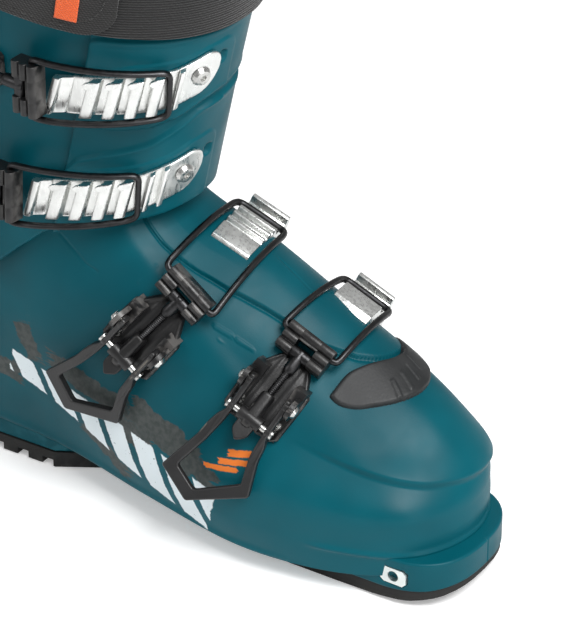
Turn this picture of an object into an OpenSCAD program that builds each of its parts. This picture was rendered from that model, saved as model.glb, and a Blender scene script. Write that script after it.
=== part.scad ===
// Alpine ski boot for the right foot, with walk mode, grip-sole blocks and four micro-adjust buckles.
// Millimetres. +X toe, +Y inner (medial) side, +Z up. Origin on the ground under the middle of the sole.

/* [Shell] */
// Wall thickness of the lower shell
shell_wall = 4.2; // [3.5:0.1:5]
// Points around the lower shell skin
shell_n = 44; // [36:4:64]
// Rows up the lower shell skin
shell_rows = 20; // [14:1:28]

/* [Cuff] */
// Wall thickness of the cuff
cuff_wall = 3.5; // [3:0.1:4.2]
// Gap between the two overlapping cuff flaps
flap_gap = 0.8; // [0.5:0.1:1.2]
// Radius of the ankle pivot bolt
pivot_r = 5; // [4:0.1:6]

/* [Sole] */
// Half width of the toe lug
lug_half = 34.5; // [33.5:0.1:35.5]
// Height of the toe ledge above the ground
toe_ledge = 23; // [21:0.5:25]
// Radius of the pin-binding socket
socket_r = 2.6; // [2.4:0.1:2.8]

/* [Buckles] */
// Radius of the hinge pins in the buckles
pin_r = 1.5; // [1.3:0.1:1.8]
// Radius of the bail wire
wire_r = 1.6; // [1.4:0.1:2]

/* [Part] */
// Sub-part to draw

/* [Hidden] */
$fn = 48;

teal = [0.05,0.32,0.37]; black = [0.12,0.12,0.12]; silver = [0.82,0.82,0.8]; grey = [0.35,0.36,0.36];

// ---- curves and skins ----
function cr(a,b,c,d,t) = 0.5*((2*b)+(c-a)*t+(2*a-5*b+4*c-d)*t*t+(3*b-a-3*c+d)*t*t*t);
function colpt(row,u) = let(n=len(row), i=floor(u), t=u-i) cr(row[(i-1+n)%n],row[i%n],row[(i+1)%n],row[(i+2)%n],t);
function netpt(net,u,v) = let(m=len(net), j=min(floor(v),m-2), t=v-j)
  cr(colpt(net[max(j-1,0)],u),colpt(net[j],u),colpt(net[j+1],u),colpt(net[min(j+2,m-1)],u),t);
function grid(net,nu,v0,v1,nv) = [for(j=[0:nv]) [for(i=[0:nu-1]) netpt(net,i*len(net[0])/nu,v0+(v1-v0)*j/nv)]];
function unit(v) = v/max(norm(v),0.0001);
function gn(G,i,j) = let(n=len(G[0]), m=len(G)-1)
  unit(cross(G[min(j+1,m)][i]-G[max(j-1,0)][i], G[j][(i+1)%n]-G[j][(i-1+n)%n]));
function off(G,d) = [for(j=[0:len(G)-1]) [for(i=[0:len(G[0])-1]) G[j][i]+d*gn(G,i,j)]];
function flat(G) = [for(r=G) for(p=r) p];
// side faces of a ring grid, cap faces between the two halves of a ring
function ringf(n,m,o,s) = [for(j=[0:m-1]) for(i=[0:n-1]) let(a=o+j*n+i,b=o+j*n+(i+1)%n,c=b+n,d=a+n)
  each (s>0 ? [[a,b,c],[a,c,d]] : [[a,c,b],[a,d,c]])];
function capf(n,o,s) = [for(i=[0:n/2-1]) let(a=o+i+1,b=o+i,c=o+(n-i)%n,d=o+n-i-1)
  each (i==0 ? (s>0 ? [[a,b,d]] : [[a,d,b]]) : a==d ? (s>0 ? [[a,b,c]] : [[a,c,b]]) :
  (s>0 ? [[a,b,c],[a,c,d]] : [[a,c,b],[a,d,c]]))];
// closed solid bounded by one skin, with caps below and above
module skin_solid(G) { n=len(G[0]); m=len(G)-1;
  polyhedron(flat(G),concat(ringf(n,m,0,1),capf(n,0,1),capf(n,m*n,-1)),convexity=6); }
// cup with an outer and an inner skin, open at the top
module cup(A,B) { n=len(A[0]); ma=len(A)-1; mb=len(B)-1; o=n*(ma+1);
  polyhedron(concat(flat(A),flat(B)),concat(ringf(n,ma,0,1),capf(n,0,1),ringf(n,mb,o,-1),capf(n,o,-1),
   [for(i=[0:n-1]) let(a=ma*n+i,b=ma*n+(i+1)%n,c=o+mb*n+(i+1)%n,d=o+mb*n+i) each [[a,b,c],[a,c,d]]]),convexity=8); }
// sheet between two open or closed grids of the same size
module sheet(A,B,closed) { n=len(A[0]); m=len(A)-1; o=n*(m+1); e=closed?n-1:n-2;
  polyhedron(concat(flat(A),flat(B)),concat(
   [for(j=[0:m-1]) for(i=[0:e]) let(a=j*n+i,b=j*n+(i+1)%n,c=b+n,d=a+n) each [[a,b,c],[a,c,d],[o+a,o+c,o+b],[o+a,o+d,o+c]]],
   [for(i=[0:e]) let(a=i,b=(i+1)%n) each [[b,a,o+a],[b,o+a,o+b]]],
   [for(i=[0:e]) let(a=m*n+i,b=m*n+(i+1)%n) each [[a,b,o+b],[a,o+b,o+a]]],
   closed?[]:[for(j=[0:m-1]) let(a=j*n,d=a+n) each [[a,d,o+d],[a,o+d,o+a]]],
   closed?[]:[for(j=[0:m-1]) let(a=j*n+n-1,d=a+n) each [[d,a,o+a],[d,o+a,o+d]]]),convexity=8); }
// round wire along a path of points P with outward directions N
module wire(P,N,r,closed=true,n=8) { k=len(P); e=closed?k-1:k-2;
  T=[for(i=[0:k-1]) unit(P[closed?(i+1)%k:min(i+1,k-1)]-P[closed?(i-1+k)%k:max(i-1,0)])];
  V=[for(i=[0:k-1]) let(b=unit(cross(N[i],T[i])),w=cross(T[i],b)) for(q=[0:n-1]) P[i]+r*(cos(q*360/n)*b+sin(q*360/n)*w)];
  polyhedron(V,concat([for(i=[0:e]) for(q=[0:n-1]) let(a=i*n+q,b=i*n+(q+1)%n,c=((i+1)%k)*n+(q+1)%n,d=((i+1)%k)*n+q) each [[a,c,b],[a,d,c]]],
   closed?[]:[[for(q=[0:n-1]) q],[for(q=[n-1:-1:0]) (k-1)*n+q]]),convexity=6); }

// ---- lower shell skin: 8 rows up, 14 stations from the toe along the outer side, heel, inner side ----
NET = [
[[144,2,16],[132,-27,14],[100,-41,10],[55,-47,9.8],[2,-42,13],[-52,-34,16],[-118,-32,20],[-147,0,20],[-118,32,20],[-52,34,16],[2,36,14],[55,44,9.8],[100,41,10],[133,30,14]],
[[145,2,32],[132,-28,31],[100,-43,27],[54,-51,27],[2,-47,32],[-54,-38,38],[-118,-33.5,42],[-147.5,0,42],[-118,33.5,42],[-54,38,38],[2,42,32],[56,49,28],[100,45,29],[135,31,32]],
[[143,3,47],[129,-29,46],[98,-43,45],[53,-50,48],[0,-46,56],[-56,-41,62],[-116,-34,60],[-146.5,0,60],[-116,34,60],[-56,41,62],[0,45,56],[56,49,52],[100,46,48],[133,33,48]],
[[124,5,68],[107,-20,63.5],[83,-32,63],[46,-40,70],[-4,-43,80],[-60,-43,84],[-113,-34,78],[-144.5,0,78],[-113,34,78],[-60,43,84],[-2,43,81],[50,43,76],[91,40,71.5],[116,28,69.5]],
[[82,5,90.5],[69,-15,86.5],[52,-27,85],[28,-35,92],[-14,-40,102],[-64,-42,103],[-110,-33.5,94],[-142,0,92],[-110,33.5,94],[-64,42,103],[-12,40,103],[33,38,97],[63,34,93],[80,21,92]],
[[34,4,119],[28,-13,114],[18,-25,112],[1,-31,117],[-30,-36,122],[-70,-40,122],[-107,-32,108],[-138,0,104],[-107,32,108],[-70,40,122],[-28,37,123],[5,33,119],[24,28,118],[34,16,119]],
[[-7,0,138],[-9,-12,138],[-14,-21,138],[-24,-28,140],[-45,-34,142],[-74,-37,139],[-104,-30,124],[-133,0,119],[-104,30,124],[-74,37,139],[-45,34,142],[-24,28,140],[-14,22,138],[-9,13,138]],
[[-18,0,164],[-20,-10,164],[-25,-18,164],[-33,-25,164],[-50,-31,162],[-76,-34,156],[-101,-28,141],[-125,0,134],[-101,28,141],[-76,34,156],[-50,31,162],[-33,25,164],[-25,18,164],[-20,10,164]]];

// ---- cuff skin: closed sections at heights z ----
CZ = [100,122,141,165,195,230,262,300];
CF = [-2,0,3,8.5,15,23,29.5,36];
CB = [-149,-152,-148,-142,-131,-118,-108,-98];
CY = [49,49.5,49.5,49,49.5,51,53.5,57];
function lk(A,z) = lookup(z,[for(i=[0:7]) [CZ[i],A[i]]]);
function sp(c,p) = sign(c)*pow(abs(c),p);
function cpt(f,z) = let(a=(lk(CF,z)-lk(CB,z))/2, c=(lk(CF,z)+lk(CB,z))/2) [c+a*sp(cos(f),0.9), lk(CY,z)*sp(sin(f),0.9), z];
function cnm(f,z) = let(p=cpt(f,z), q=cpt(f+2,z)-cpt(f-2,z), w=cpt(f,z+3)-cpt(f,z-3)) unit(cross(q,w));
function coff(f,z,d) = cpt(f,z)+d*cnm(f,z);
// lower and upper edge of the cuff
function zl(x) = lookup(x,[[-160,122],[-140,118],[-118,108],[-96,103],[-80,106],[-66,118],[-50,133],[-36,141],[-4,147],[4,150],[20,155]]);
function zu(x) = lookup(x,[[-125,292],[-100,286],[-60,270],[-20,254],[30,250]]);
// the sheet runs from the outer flap end (under) round the back to the inner flap end (over)
F0 = 35; F1 = -428;
function under(f) = f>-71 ? 1 : f<-98 ? 0 : (f+98)/27;
function cgrid(d,n,m) = [for(j=[0:m]) [for(i=[0:n]) let(f=F0+(F1-F0)*i/n, x=cpt(f,150)[0], a=zl(cpt(f,125)[0]), b=zu(cpt(f,265)[0]), z=a+(b-a)*j/m)
  coff(f,z,d-under(f)*(cuff_wall+flap_gap))]];
function ring(z0,z1,d,n,m) = [for(j=[0:m]) [for(i=[0:n-1]) let(f=-360*i/n) coff(f,z0+(z1-z0)*j/m,d)]];

SG = grid(NET,shell_n,0,7,shell_rows);
PV = [-84,0,122];
module seat_shell(d) skin_solid(off(SG,d));
module seat_cuff(d) skin_solid(ring(96,300,d,72,16));

// ---- sole outlines ----
function lugpt(t,w,l) = [152.5-l+l*pow(max(cos(t),0),0.8), w*sign(sin(t))*pow(abs(sin(t)),0.8)];
module toe_plan(d=0) offset_free(concat([[54,-36+d],[80,-35+d],[100,-lug_half+d]],[for(t=[-90:10:90]) lugpt(t,lug_half-d,32)-[d*max(cos(t),0),0]],[[100,lug_half-d],[80,35-d],[54,36-d]]));
module heel_plan(d=0) offset_free(concat([[-38,20-d],[-58,32-d]],[for(t=[90:15:270]) [-118+(34.5-d)*cos(t),(34.5-d)*sin(t)]],[[-58,-32+d],[-38,-20+d]]));
module offset_free(p) polygon(p);
module side(p,w=45) translate([0,w,0]) rotate([90,0,0]) linear_extrude(2*w) polygon(p);

// ---- lower shell group ----
module lower_shell() color(teal) resize([0,0,0]) difference() {
  union() {
    cup(SG,off(grid(NET,shell_n,0.32,7,shell_rows-1),-shell_wall));
    intersection() { linear_extrude(30) toe_plan(0); side([[56,9.3],[75,7.3],[100,6.9],[120,7.4],[140,9],[153,11],[153,toe_ledge],[56,toe_ledge]]); }
    translate([0,0,8.2]) linear_extrude(20.8) heel_plan(0.5);
  }
  // sockets of the pin insert, screws and pivots
  translate([126,0,14]) cube([13.4,90,8.4],center=true);
  translate([-151,0,19]) cube([5,22.4,12.4],center=true);
  for(s=screws_at) translate([s[0],s[1],s[2]-1]) cylinder(r=2.1,h=s[3]+1.2,$fn=24);
  for(y=[-1,1]) translate([-84,y*34,122]) rotate([90,0,0]) cylinder(r=pivot_r+0.06,h=30,center=true,$fn=64);
  for(p=[b3_f,b4_f]) at(p) for(y=[-10,10]) translate([-11,y,-16]) cylinder(r=1.6,h=18,$fn=20);
  // seat of the lock bar foot
  translate([-139,0,84]) cube([30,14.4,12.4],center=true);
}
// grip toe block: rocker profile with cross treads
toe_low = [[56,3.2],[62,0.8],[74,0],[98,0],[116,0.7],[132,2.4],[145,5],[153,7.6]];
module toe_sole() color(black) difference() {
  intersection() { linear_extrude(12) toe_plan(0.4); side(concat(toe_low,[[153,10.9],[140,8.9],[120,7.3],[100,6.8],[75,7.2],[56,8.4]])); }
  for(x=[68,80,92,104,116,128]) translate([x,0,0]) rotate([0,0,0]) cube([3.2,52,3.4],center=true);
  for(s=screws_at) if(s[0]>0) translate([s[0],s[1],-1]) { cylinder(r=2.2,h=12); cylinder(r=3.9,h=4.5); }
}
module heel_sole() color(black) difference() {
  linear_extrude(8) heel_plan(0);
  for(x=[-146,-132,-118,-104,-90,-76,-62]) for(y=[-1,1]) translate([x,y*30,1]) cube([6,26,5],center=true);
  translate([-95,0,0]) cube([70,10,4],center=true);
  for(s=screws_at) if(s[0]<0) translate([s[0],s[1],-1]) { cylinder(r=2.2,h=12); cylinder(r=3.9,h=5.5); }
}
// x, y, start height and length of each sole screw
screws_at = [[74,-20,4,8],[74,20,4,8],[112,-18,4,8],[112,18,4,8],[-69,-11,4,8],[-69,11,4,8],[-125,-11,4,8],[-125,11,4,8]];
module sole_screws() color(silver) for(s=screws_at) translate([s[0],s[1],2]) difference() {
  union() { cylinder(r=3.6,h=1.4); cylinder(r=2,h=10); }
  translate([0,0,-1]) cylinder(r=1.5,h=2,$fn=6); }
// steel bar across the toe lug with a socket at each end
module toe_pin_insert() color(silver) translate([126,0,14]) difference() {
  union() { cube([12,64,7],center=true); for(y=[-1,1]) translate([0,y*33,0]) rotate([90,0,0]) linear_extrude(2.6,center=true) polygon([[-6.4,-2.6],[-4.6,-4],[4.6,-4],[6.4,-2.2],[6.4,2.2],[4.6,4],[-4.6,4],[-6.4,2.6]]); }
  for(y=[-1,1]) translate([0,y*34.4,0]) rotate([y*90,0,0]) cylinder(r=socket_r,h=6.4);
}
module heel_pin_insert() color(silver) translate([-151,0,19]) difference() {
  cube([4.4,22,12],center=true);
  for(y=[-5.5,5.5]) translate([-1.5,y,0]) cube([3,4,8],center=true);
}
// rubber cover that seals the toe end of the instep slit
module toe_rubber_cover() color(black) resize([0,0,0]) intersection() {
  difference() { seat_shell(2.2); seat_shell(0.15); catch_raw(3,20.6); }
  translate([88,8,80]) multmatrix([[0.85,-0.1,0.52,0],[0.1,0.99,0,0],[-0.52,0.05,0.85,0]]) linear_extrude(40,center=true)
    polygon([[-8,-24],[-2,-27],[10,-8],[17,10],[15,20],[4,30],[-8,31],[-16,20],[-15,4],[-12,-10]]);
}
// ---- inside the shell ----
module bootboard() color(grey) resize([0,0,0]) intersection() {
  skin_solid(off(grid(NET,shell_n,0,3,8),-shell_wall-0.6));
  side([[-136,29.4],[-36,29.4],[-30,25],[50,24],[122,23.5],[122,26.6],[60,27.6],[-20,33],[-136,36.4]]);
}
// floor line of the liner above the boot board
function fl(x) = lookup(x,[[-140,37.4],[-20,34],[60,28.6],[145,27.6]]);
function lift(G,z) = [for(r=G) [for(p=r) [p[0],p[1],max(p[2],fl(p[0])+z)]]];
module liner_foot() color(black) {
  A = off(grid(NET,shell_n,0.8,6.9,10),-shell_wall-2.6);
  B = off(grid(NET,shell_n,0.8,6.9,10),-shell_wall-6.8);
  cup(lift(A,0),lift(B,5));
}
module footbed() color(grey) intersection() {
  linear_extrude(60) polygon([for(t=[0:12:348]) let(c=cos(t),s=sin(t)) [-6+106*c,(20+5*c)*sp(s,0.8)+1]]);
  side([[-120,42.9],[-20,39.5],[60,34.2],[110,33.6],[110,36],[60,36.8],[-20,42.2],[-120,45.8]]);
}
lf = [for(j=[0:8]) [for(i=[0:43]) let(f=-360*i/44, x=cpt(f,190)[0], a=122+sqrt(max(88*88-pow(x+84,2),0)), z0=max(a,174), z1=300+0.12*(-x-20), z=z0+(z1-z0)*j/8) coff(f,z,-9.6)]];
lg = [for(j=[0:8]) [for(i=[0:43]) let(f=-360*i/44, x=cpt(f,190)[0], a=122+sqrt(max(88*88-pow(x+84,2),0)), z0=max(a,174), z1=300+0.12*(-x-20), z=z0+(z1-z0)*j/8) coff(f,z,-16.5)]];
module liner_cuff() color(black) sheet([for(r=lf) [for(i=[4:40]) r[i]]],[for(r=lg) [for(i=[4:40]) r[i]]],false);
module liner_tongue() color(black) sheet([for(j=[0:9]) [for(i=[-8:8]) coff(-i*3.3,176+j*14.4,-9.6)]],[for(j=[0:9]) [for(i=[-8:8]) coff(-i*3.3,176+j*14.4,-17)]],false);

// ---- cuff group ----
module cuff() color(teal) resize([0,0,0]) difference() {
  union() { sheet(cgrid(0,60,14),cgrid(-cuff_wall,60,14),false);
    for(s=[-1,1]) translate([WX,s*10.2,176]) { rotate([90,0,0]) cylinder(r=4.2,h=3.4,center=true); translate([4,0,-1]) cube([8,3.4,9],center=true); } }
  translate([WX,0,176]) rotate([90,0,0]) cylinder(r=pin_r+0.05,h=30,center=true,$fn=48);
  for(y=[-1,1]) translate([-84,y*50,122]) rotate([90,0,0]) cylinder(r=pivot_r+0.06,h=40,center=true,$fn=64);
  // window for the walk lever at the back
  translate([-120,0,193]) cube([60,16.8,54],center=true);
  for(p=[b1_f,b2_f]) at(p) for(y=[-10,10]) translate([-11,y,-16]) cylinder(r=1.6,h=18,$fn=20);
  for(p=lad_screw) at(p) translate([0,0,-9]) cylinder(r=2.1,h=16,$fn=24);
  for(s=[-1,1]) at(cfr(s*150,262)) translate([0,0,-8]) cylinder(r=2.1,h=16,$fn=24);
}
module rear_spoiler() color(black) sheet([for(j=[0:5]) [for(i=[0:14]) coff(-128-i*104/14,262+j*10.5,-cuff_wall-0.5)]],[for(j=[0:5]) [for(i=[0:14]) coff(-128-i*104/14,262+j*10.5,-cuff_wall-4)]],false);
module pivot_bolts() color(silver) for(s=[-1,1]) translate([-84,s*50.6,122]) rotate([s*90,0,0]) difference() {
  union() { translate([0,0,-2.6]) cylinder(r=9.5,h=2.6); cylinder(r=pivot_r,h=15.5); }
  translate([0,0,-3.2]) cylinder(r=2.6,h=2.4,$fn=6); }
WX = -139.6;
module walk_lever() color(black) translate([WX,0,176]) rotate([0,21,0]) difference() {
  union() { translate([-1,0,19]) cube([4.6,15,46],center=true); translate([-3,0,40]) cube([7,15,5],center=true); rotate([90,0,0]) cylinder(r=4,h=15,center=true); }
  rotate([90,0,0]) cylinder(r=pin_r+0.05,h=30,center=true); }
module walk_pin() color(silver) translate([WX,0,176]) rotate([90,0,0]) cylinder(r=pin_r,h=23,center=true);
module lock_bar() color(silver) difference() { translate([-144,0,84]) cube([7.4,14,12],center=true); translate([-147,0,84]) cube([4,8,5],center=true); }
module power_strap() color(black) resize([0,0,0]) difference() { sheet(strap_g(5),strap_g(1.6),true); for(s=[-1,1]) at(cfr(s*150,262)) cylinder(r=2.1,h=12,$fn=24); }
function strap_g(d) = [for(j=[0:4]) [for(i=[0:47]) let(f=-360*i/48) coff(f,236+j*10.5+7*(1-cos(f))/2,d)]];
module strap_rivets() color(silver) for(s=[-1,1]) at(cfr(s*150,262)) { translate([0,0,5.2]) cylinder(r1=4.4,r2=3,h=1.6); translate([0,0,-3.3]) cylinder(r=2,h=9); }

// ---- frames: origin and axes of each buckle, x along the pull, z outward ----
function fr(o,x,h) = let(X=unit(x), Y=unit(-(h-(h*X)*X)), Z=cross(X,Y)) [o,X,Y,Z];
function cfr(f,z) = let(Z=cnm(f,z), t=unit(cpt(f+2,z)-cpt(f-2,z))) [cpt(f,z),t,cross(Z,t),Z];
module at(F) multmatrix([[F[1][0],F[2][0],F[3][0],F[0][0]],[F[1][1],F[2][1],F[3][1],F[0][1]],[F[1][2],F[2][2],F[3][2],F[0][2]],[0,0,0,1]]) children();
b3_f = fr([3.6,-47.5,99.4],[0.596,0.05,0.80],[0.80,0,-0.596]);
b4_f = fr([62.8,-35,86],[0.361,0.464,0.809],[0.9,0.05,-0.43]);
b1_f = let(c=cfr(-105.5,213)) [c[0]+8*c[3],c[1],c[2],c[3]];
b2_f = let(c=cfr(-106,157.5)) [c[0]+8*c[3],c[1],c[2],c[3]];
lad_screw = [cfr(-18.5,218.9),cfr(-17,168.7)];
FR = [b1_f,b2_f,b3_f,b4_f];

function tolocal(F,P) = let(d=P-F[0]) [d*F[1],d*F[2],d*F[3]];
function toworld(F,p) = F[0]+p[0]*F[1]+p[1]*F[2]+p[2]*F[3];
// clevis pin point in the buckle frame
QX = -14; QZ = 0.6;
// bail pivot (T) and hooked bar (K) points in the world
TW = [coff(-81.5,213,8.2), coff(-82,157.5,8.2), [18.4,-31,121.2], [70.2,-10.6,98.4]];
KW = [coff(-33,214.3,4.3), coff(-37.5,162,4.3), [16.0,30.8,126.4], [67.0,37.8,99.2]];
TL = [for(k=[0:3]) let(t=tolocal(FR[k],TW[k])) [t[0],0,t[2]]];
RL = [for(k=[0:3]) norm([TL[k][0]-QX,TL[k][2]-QZ])];
// rod frame: origin at the clevis pin, x along the rod
RF = [for(k=[0:3]) let(F=FR[k], X=unit(toworld(F,TL[k])-toworld(F,[QX,0,QZ]))) [toworld(F,[QX,0,QZ]),X,F[2],cross(X,F[2])]];
TP = [for(k=[0:3]) toworld(FR[k],TL[k])];
// frame at the hooked bar: x onward along the pull, z outward
function kfr(k,n) = let(X0=unit(KW[k]-TP[k]), Z=unit(n-(n*X0)*X0)) [KW[k],X0,cross(Z,X0),Z];
KN = [cnm(-33,214.3),cnm(-37.5,162),[0.30,0.50,0.81],[0.34,0.45,0.82]];

module seat_for(k) { if (k<2) seat_cuff(0.12); else seat_shell(0.12); }
module b_base(k) color(black) resize([0,0,0]) difference() {
  at(FR[k]) difference() {
    union() {
      for(s=[-1,1]) { translate([-5,s*10.5,-10.3]) cube([26,6,11.4],center=true);
        translate([0,s*12.4,-4]) cube([10,2.2,8],center=true);
        translate([0,s*12.4,0]) rotate([90,0,0]) cylinder(r=5,h=2.2,center=true); }
      translate([-16,0,-10.3]) cube([4,27,11.4],center=true);
    }
    rotate([90,0,0]) cylinder(r=pin_r+0.04,h=40,center=true);
    for(y=[-10,10]) translate([-11,y,-20]) cylinder(r=1.6,h=18,$fn=20);
  }
  seat_for(k);
}
module b_lever(k) color(black) at(FR[k]) difference() {
  union() {
    translate([0,0,-1.4]) linear_extrude(4) difference() {
      polygon([[-12,11],[-17,11],[-20.5,12.6],[-33,14.8],[-54,20.2],[-57,18.6],[-61,3],[-60,0.4],[-43,-18.6],[-40,-19.3],[-27,-13.6],[-20.5,-12.6],[-17,-11],[-12,-11]]);
      polygon([[-11,8.9],[-22,9],[-33,10.4],[-50.6,14.8],[-55.2,2.6],[-40,-13.6],[-27,-9.2],[-11,-8.9]]);
    }
    for(s=[-1,1]) { translate([-10.5,s*9.95,0.3]) cube([21,2.1,5.4],center=true);
      translate([0,s*9.95,0]) rotate([90,0,0]) cylinder(r=3.2,h=2.1,center=true); }
  }
  rotate([90,0,0]) cylinder(r=pin_r+0.04,h=40,center=true);
  translate([QX,0,QZ]) rotate([90,0,0]) cylinder(r=pin_r+0.04,h=40,center=true);
}
module b_pivot_pins(k) color(silver) at(FR[k]) for(s=[-1,1]) rotate([-s*90,0,0]) { translate([0,0,8.6]) cylinder(r=pin_r,h=5.2); translate([0,0,13.7]) cylinder(r1=3,r2=2.2,h=1.4); }
module b_clevis_pin(k) color(silver) at(FR[k]) translate([QX,0,QZ]) rotate([90,0,0]) { cylinder(r=pin_r,h=22.4,center=true); for(s=[-1,1]) translate([0,0,s*11.7]) cylinder(r=2.4,h=1.1,center=true); }
module b_clevis(k) color(black) at(RF[k]) difference() {
  union() { translate([4.2,0,0]) cube([12.6,12,6.4],center=true); translate([-6,0,0]) cube([10,9,4.4],center=true); rotate([90,0,0]) cylinder(r=3.4,h=12,center=true); translate([9,0,0]) rotate([0,90,0]) cylinder(r=3.6,h=4); }
  rotate([90,0,0]) cylinder(r=pin_r+0.04,h=40,center=true);
  translate([3.3,0,0]) rotate([0,90,0]) cylinder(r=2.06,h=20);
}
module b_rod(k) color(grey) at(RF[k]) { translate([4.4,0,0]) rotate([0,90,0]) cylinder(r=2,h=RL[k]-4.4-6.5); translate([RL[k]-6.5,0,0]) rotate([90,0,0]) cylinder(r=2.9,h=10,center=true); }
module b_block(k) color(black) at(RF[k]) difference() {
  union() { translate([RL[k]-2.6,0,0]) cube([13.4,24,8.6],center=true); for(y=[-10,10]) translate([RL[k]-2.6,y,0.6]) cube([11,2.4,9],center=true); }
  translate([RL[k]-6.5,0,0]) rotate([90,0,0]) cylinder(r=3,h=10.2,center=true);
  translate([RL[k]-9,0,0]) cube([9,4.6,9.9],center=true);
  translate([RL[k],0,0]) rotate([90,0,0]) cylinder(r=wire_r+0.12,h=40,center=true);
}
// half width of the bail at the block and at the hooked bar
BW = [[14.5,11.5],[14.5,11.5],[15,13.2],[14.5,12.8]];
BH = [0,0,7,6];
function bail_mid(k,s) = k==0 ? coff(-81.5+48.5*s,213+1.3*s,8.2-3.9*s) : k==1 ? coff(-82+44.5*s,157.5+4.5*s,8.2-3.9*s) :
  TP[k]+s*(KW[k]-TP[k])+4*BH[k]*s*(1-s)*unit(RF[k][3]+KN[k]);
function bail_n(k,s) = k==0 ? cnm(-81.5+48.5*s,213.5) : k==1 ? cnm(-82+44.5*s,159.5) : unit((1-s)*RF[k][3]+s*KN[k]+0.6*(1-abs(2*s-1))*unit(RF[k][3]+KN[k]));
function bail_y(k,s) = let(y0=RF[k][2], n=bail_n(k,s)) unit(y0-(y0*n)*n);
SS = [0.03,0.12,0.24,0.36,0.48,0.6,0.72,0.84,0.95];
function bail_c(k,s) = s<=0 ? TP[k] : s<0.1 ? TP[k]+(bail_mid(k,0.1)-TP[k])*s/0.1 : bail_mid(k,s);
function bail_path(k) = concat([for(y=[-0.5,0.5]) [TP[k]+y*2*(BW[k][0]-1.4)*RF[k][2], RF[k][3]]],
  [for(s=SS) [bail_c(k,s)+(BW[k][0]+(BW[k][1]-BW[k][0])*s)*bail_y(k,s), bail_n(k,s)]],
  [[bail_mid(k,1)+(BW[k][1]-1.6)*bail_y(k,1),bail_n(k,1)],[bail_mid(k,1)-(BW[k][1]-1.6)*bail_y(k,1),bail_n(k,1)]],
  [for(i=[len(SS)-1:-1:0]) let(s=SS[i]) [bail_c(k,s)-(BW[k][0]+(BW[k][1]-BW[k][0])*s)*bail_y(k,s), bail_n(k,s)]]);
module b_bail(k) color(black) { P=bail_path(k); wire([for(p=P) p[0]],[for(p=P) p[1]],wire_r); }

// stepped catches on the instep flap
module catch_raw(k,w) at(kfr(k,KN[k])) rotate([90,0,0]) linear_extrude(w,center=true)
  polygon([[11.4,-16],[11.4,-1.6],[10.2,0.2],[7.4,0.4],[6.6,-2.2],[-2.1,-2.2],[-2.8,1.7],[-3.8,1.9],[-7,0.4],[-8.6,2.7],[-9.6,2.9],[-12.6,1.2],[-14.2,3.6],[-15.2,3.6],[-20,-1.4],[-20,-16]]);
module instep_catch() color(silver) resize([0,0,0]) difference() { catch_raw(2,20); seat_shell(0.12); }
module toe_catch() color(silver) resize([0,0,0]) difference() { catch_raw(3,20); seat_shell(0.12); }
// ladders that follow the cuff
function tooth(f,b) = [[f-2.6,b],[f-0.4,b+3.6],[f+0.7,b+3.6],[f+1.0,b]];
function lad(f0,fe) = concat([[-77,1.2],[-76,4.4],[-70,4.4],[-69.4,1.9]],
  [for(i=[3:-1:0]) each tooth(f0-4-8*i,1.9)],[for(g=[f0:6:fe]) [g,1.9]]);
// height of the ladder centre line around the cuff
function lcz(k,f) = lookup(f,k==0 ? [[-78,209.5],[-32,214.5],[-18,219],[-8,223]] : [[-76,155.5],[-37.5,162],[-17,168.8],[-8,172.5]]);
module ladder(f0,fe,k) { L=lad(f0,fe);
  sheet([for(j=[-1:1]) [for(q=L) coff(q[0],lcz(k,q[0])+j*9.4,0.25)]],[for(j=[-1:1]) [for(q=L) coff(q[0],lcz(k,q[0])+j*9.4,0.25+q[1])]],false); }
module upper_ladder() color(silver) resize([0,0,0]) difference() { ladder(-33,-9,0); at(lad_screw[0]) translate([0,0,-3]) cylinder(r=2.1,h=9,$fn=24); }
module lower_ladder() color(silver) resize([0,0,0]) difference() { ladder(-37.5,-7.5,1); at(lad_screw[1]) translate([0,0,-3]) cylinder(r=2.1,h=9,$fn=24); }
module ladder_screws() color(silver) for(p=lad_screw) at(p) difference() {
  union() { translate([0,0,2.3]) cylinder(r1=4.6,r2=3.4,h=1.8); translate([0,0,-3.4]) cylinder(r=2,h=6); }
  translate([0,0,3]) cylinder(r=1.6,h=3,$fn=6); }
module base_rivets(ks) color(silver) for(k=ks) at(FR[k]) for(y=[-10,10]) translate([-11,y,0]) { translate([0,0,-4.5]) cylinder(r1=2.6,r2=1.8,h=1.1); translate([0,0,-10]) cylinder(r=1.5,h=5.6); }

echo(P=[for(k=[0:3]) [FR[k][0],FR[k][2],RF[k][0],RF[k][1],TP[k],KW[k],FR[k][1],FR[k][3]]]);

lower_shell();
toe_rubber_cover();
toe_sole();
heel_sole();
toe_pin_insert();
heel_pin_insert();
sole_screws();
bootboard();
footbed();
liner_foot();
liner_cuff();
liner_tongue();
cuff();
rear_spoiler();
pivot_bolts();
walk_lever();
walk_pin();
lock_bar();
power_strap();
strap_rivets();
upper_ladder();
lower_ladder();
instep_catch();
toe_catch();
ladder_screws();
base_rivets([2,3]);  // base_rivets_shell
base_rivets([0,1]);  // base_rivets_cuff
b_base(0);  // b1_base
b_lever(0);  // b1_lever
b_pivot_pins(0);  // b1_pivot_pins
b_clevis_pin(0);  // b1_clevis_pin
b_clevis(0);  // b1_clevis
b_rod(0);  // b1_rod
b_block(0);  // b1_block
b_bail(0);  // b1_bail
b_base(1);  // b2_base
b_lever(1);  // b2_lever
b_pivot_pins(1);  // b2_pivot_pins
b_clevis_pin(1);  // b2_clevis_pin
b_clevis(1);  // b2_clevis
b_rod(1);  // b2_rod
b_block(1);  // b2_block
b_bail(1);  // b2_bail
b_base(2);  // b3_base
b_lever(2);  // b3_lever
b_pivot_pins(2);  // b3_pivot_pins
b_clevis_pin(2);  // b3_clevis_pin
b_clevis(2);  // b3_clevis
b_rod(2);  // b3_rod
b_block(2);  // b3_block
b_bail(2);  // b3_bail
b_base(3);  // b4_base
b_lever(3);  // b4_lever
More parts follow.
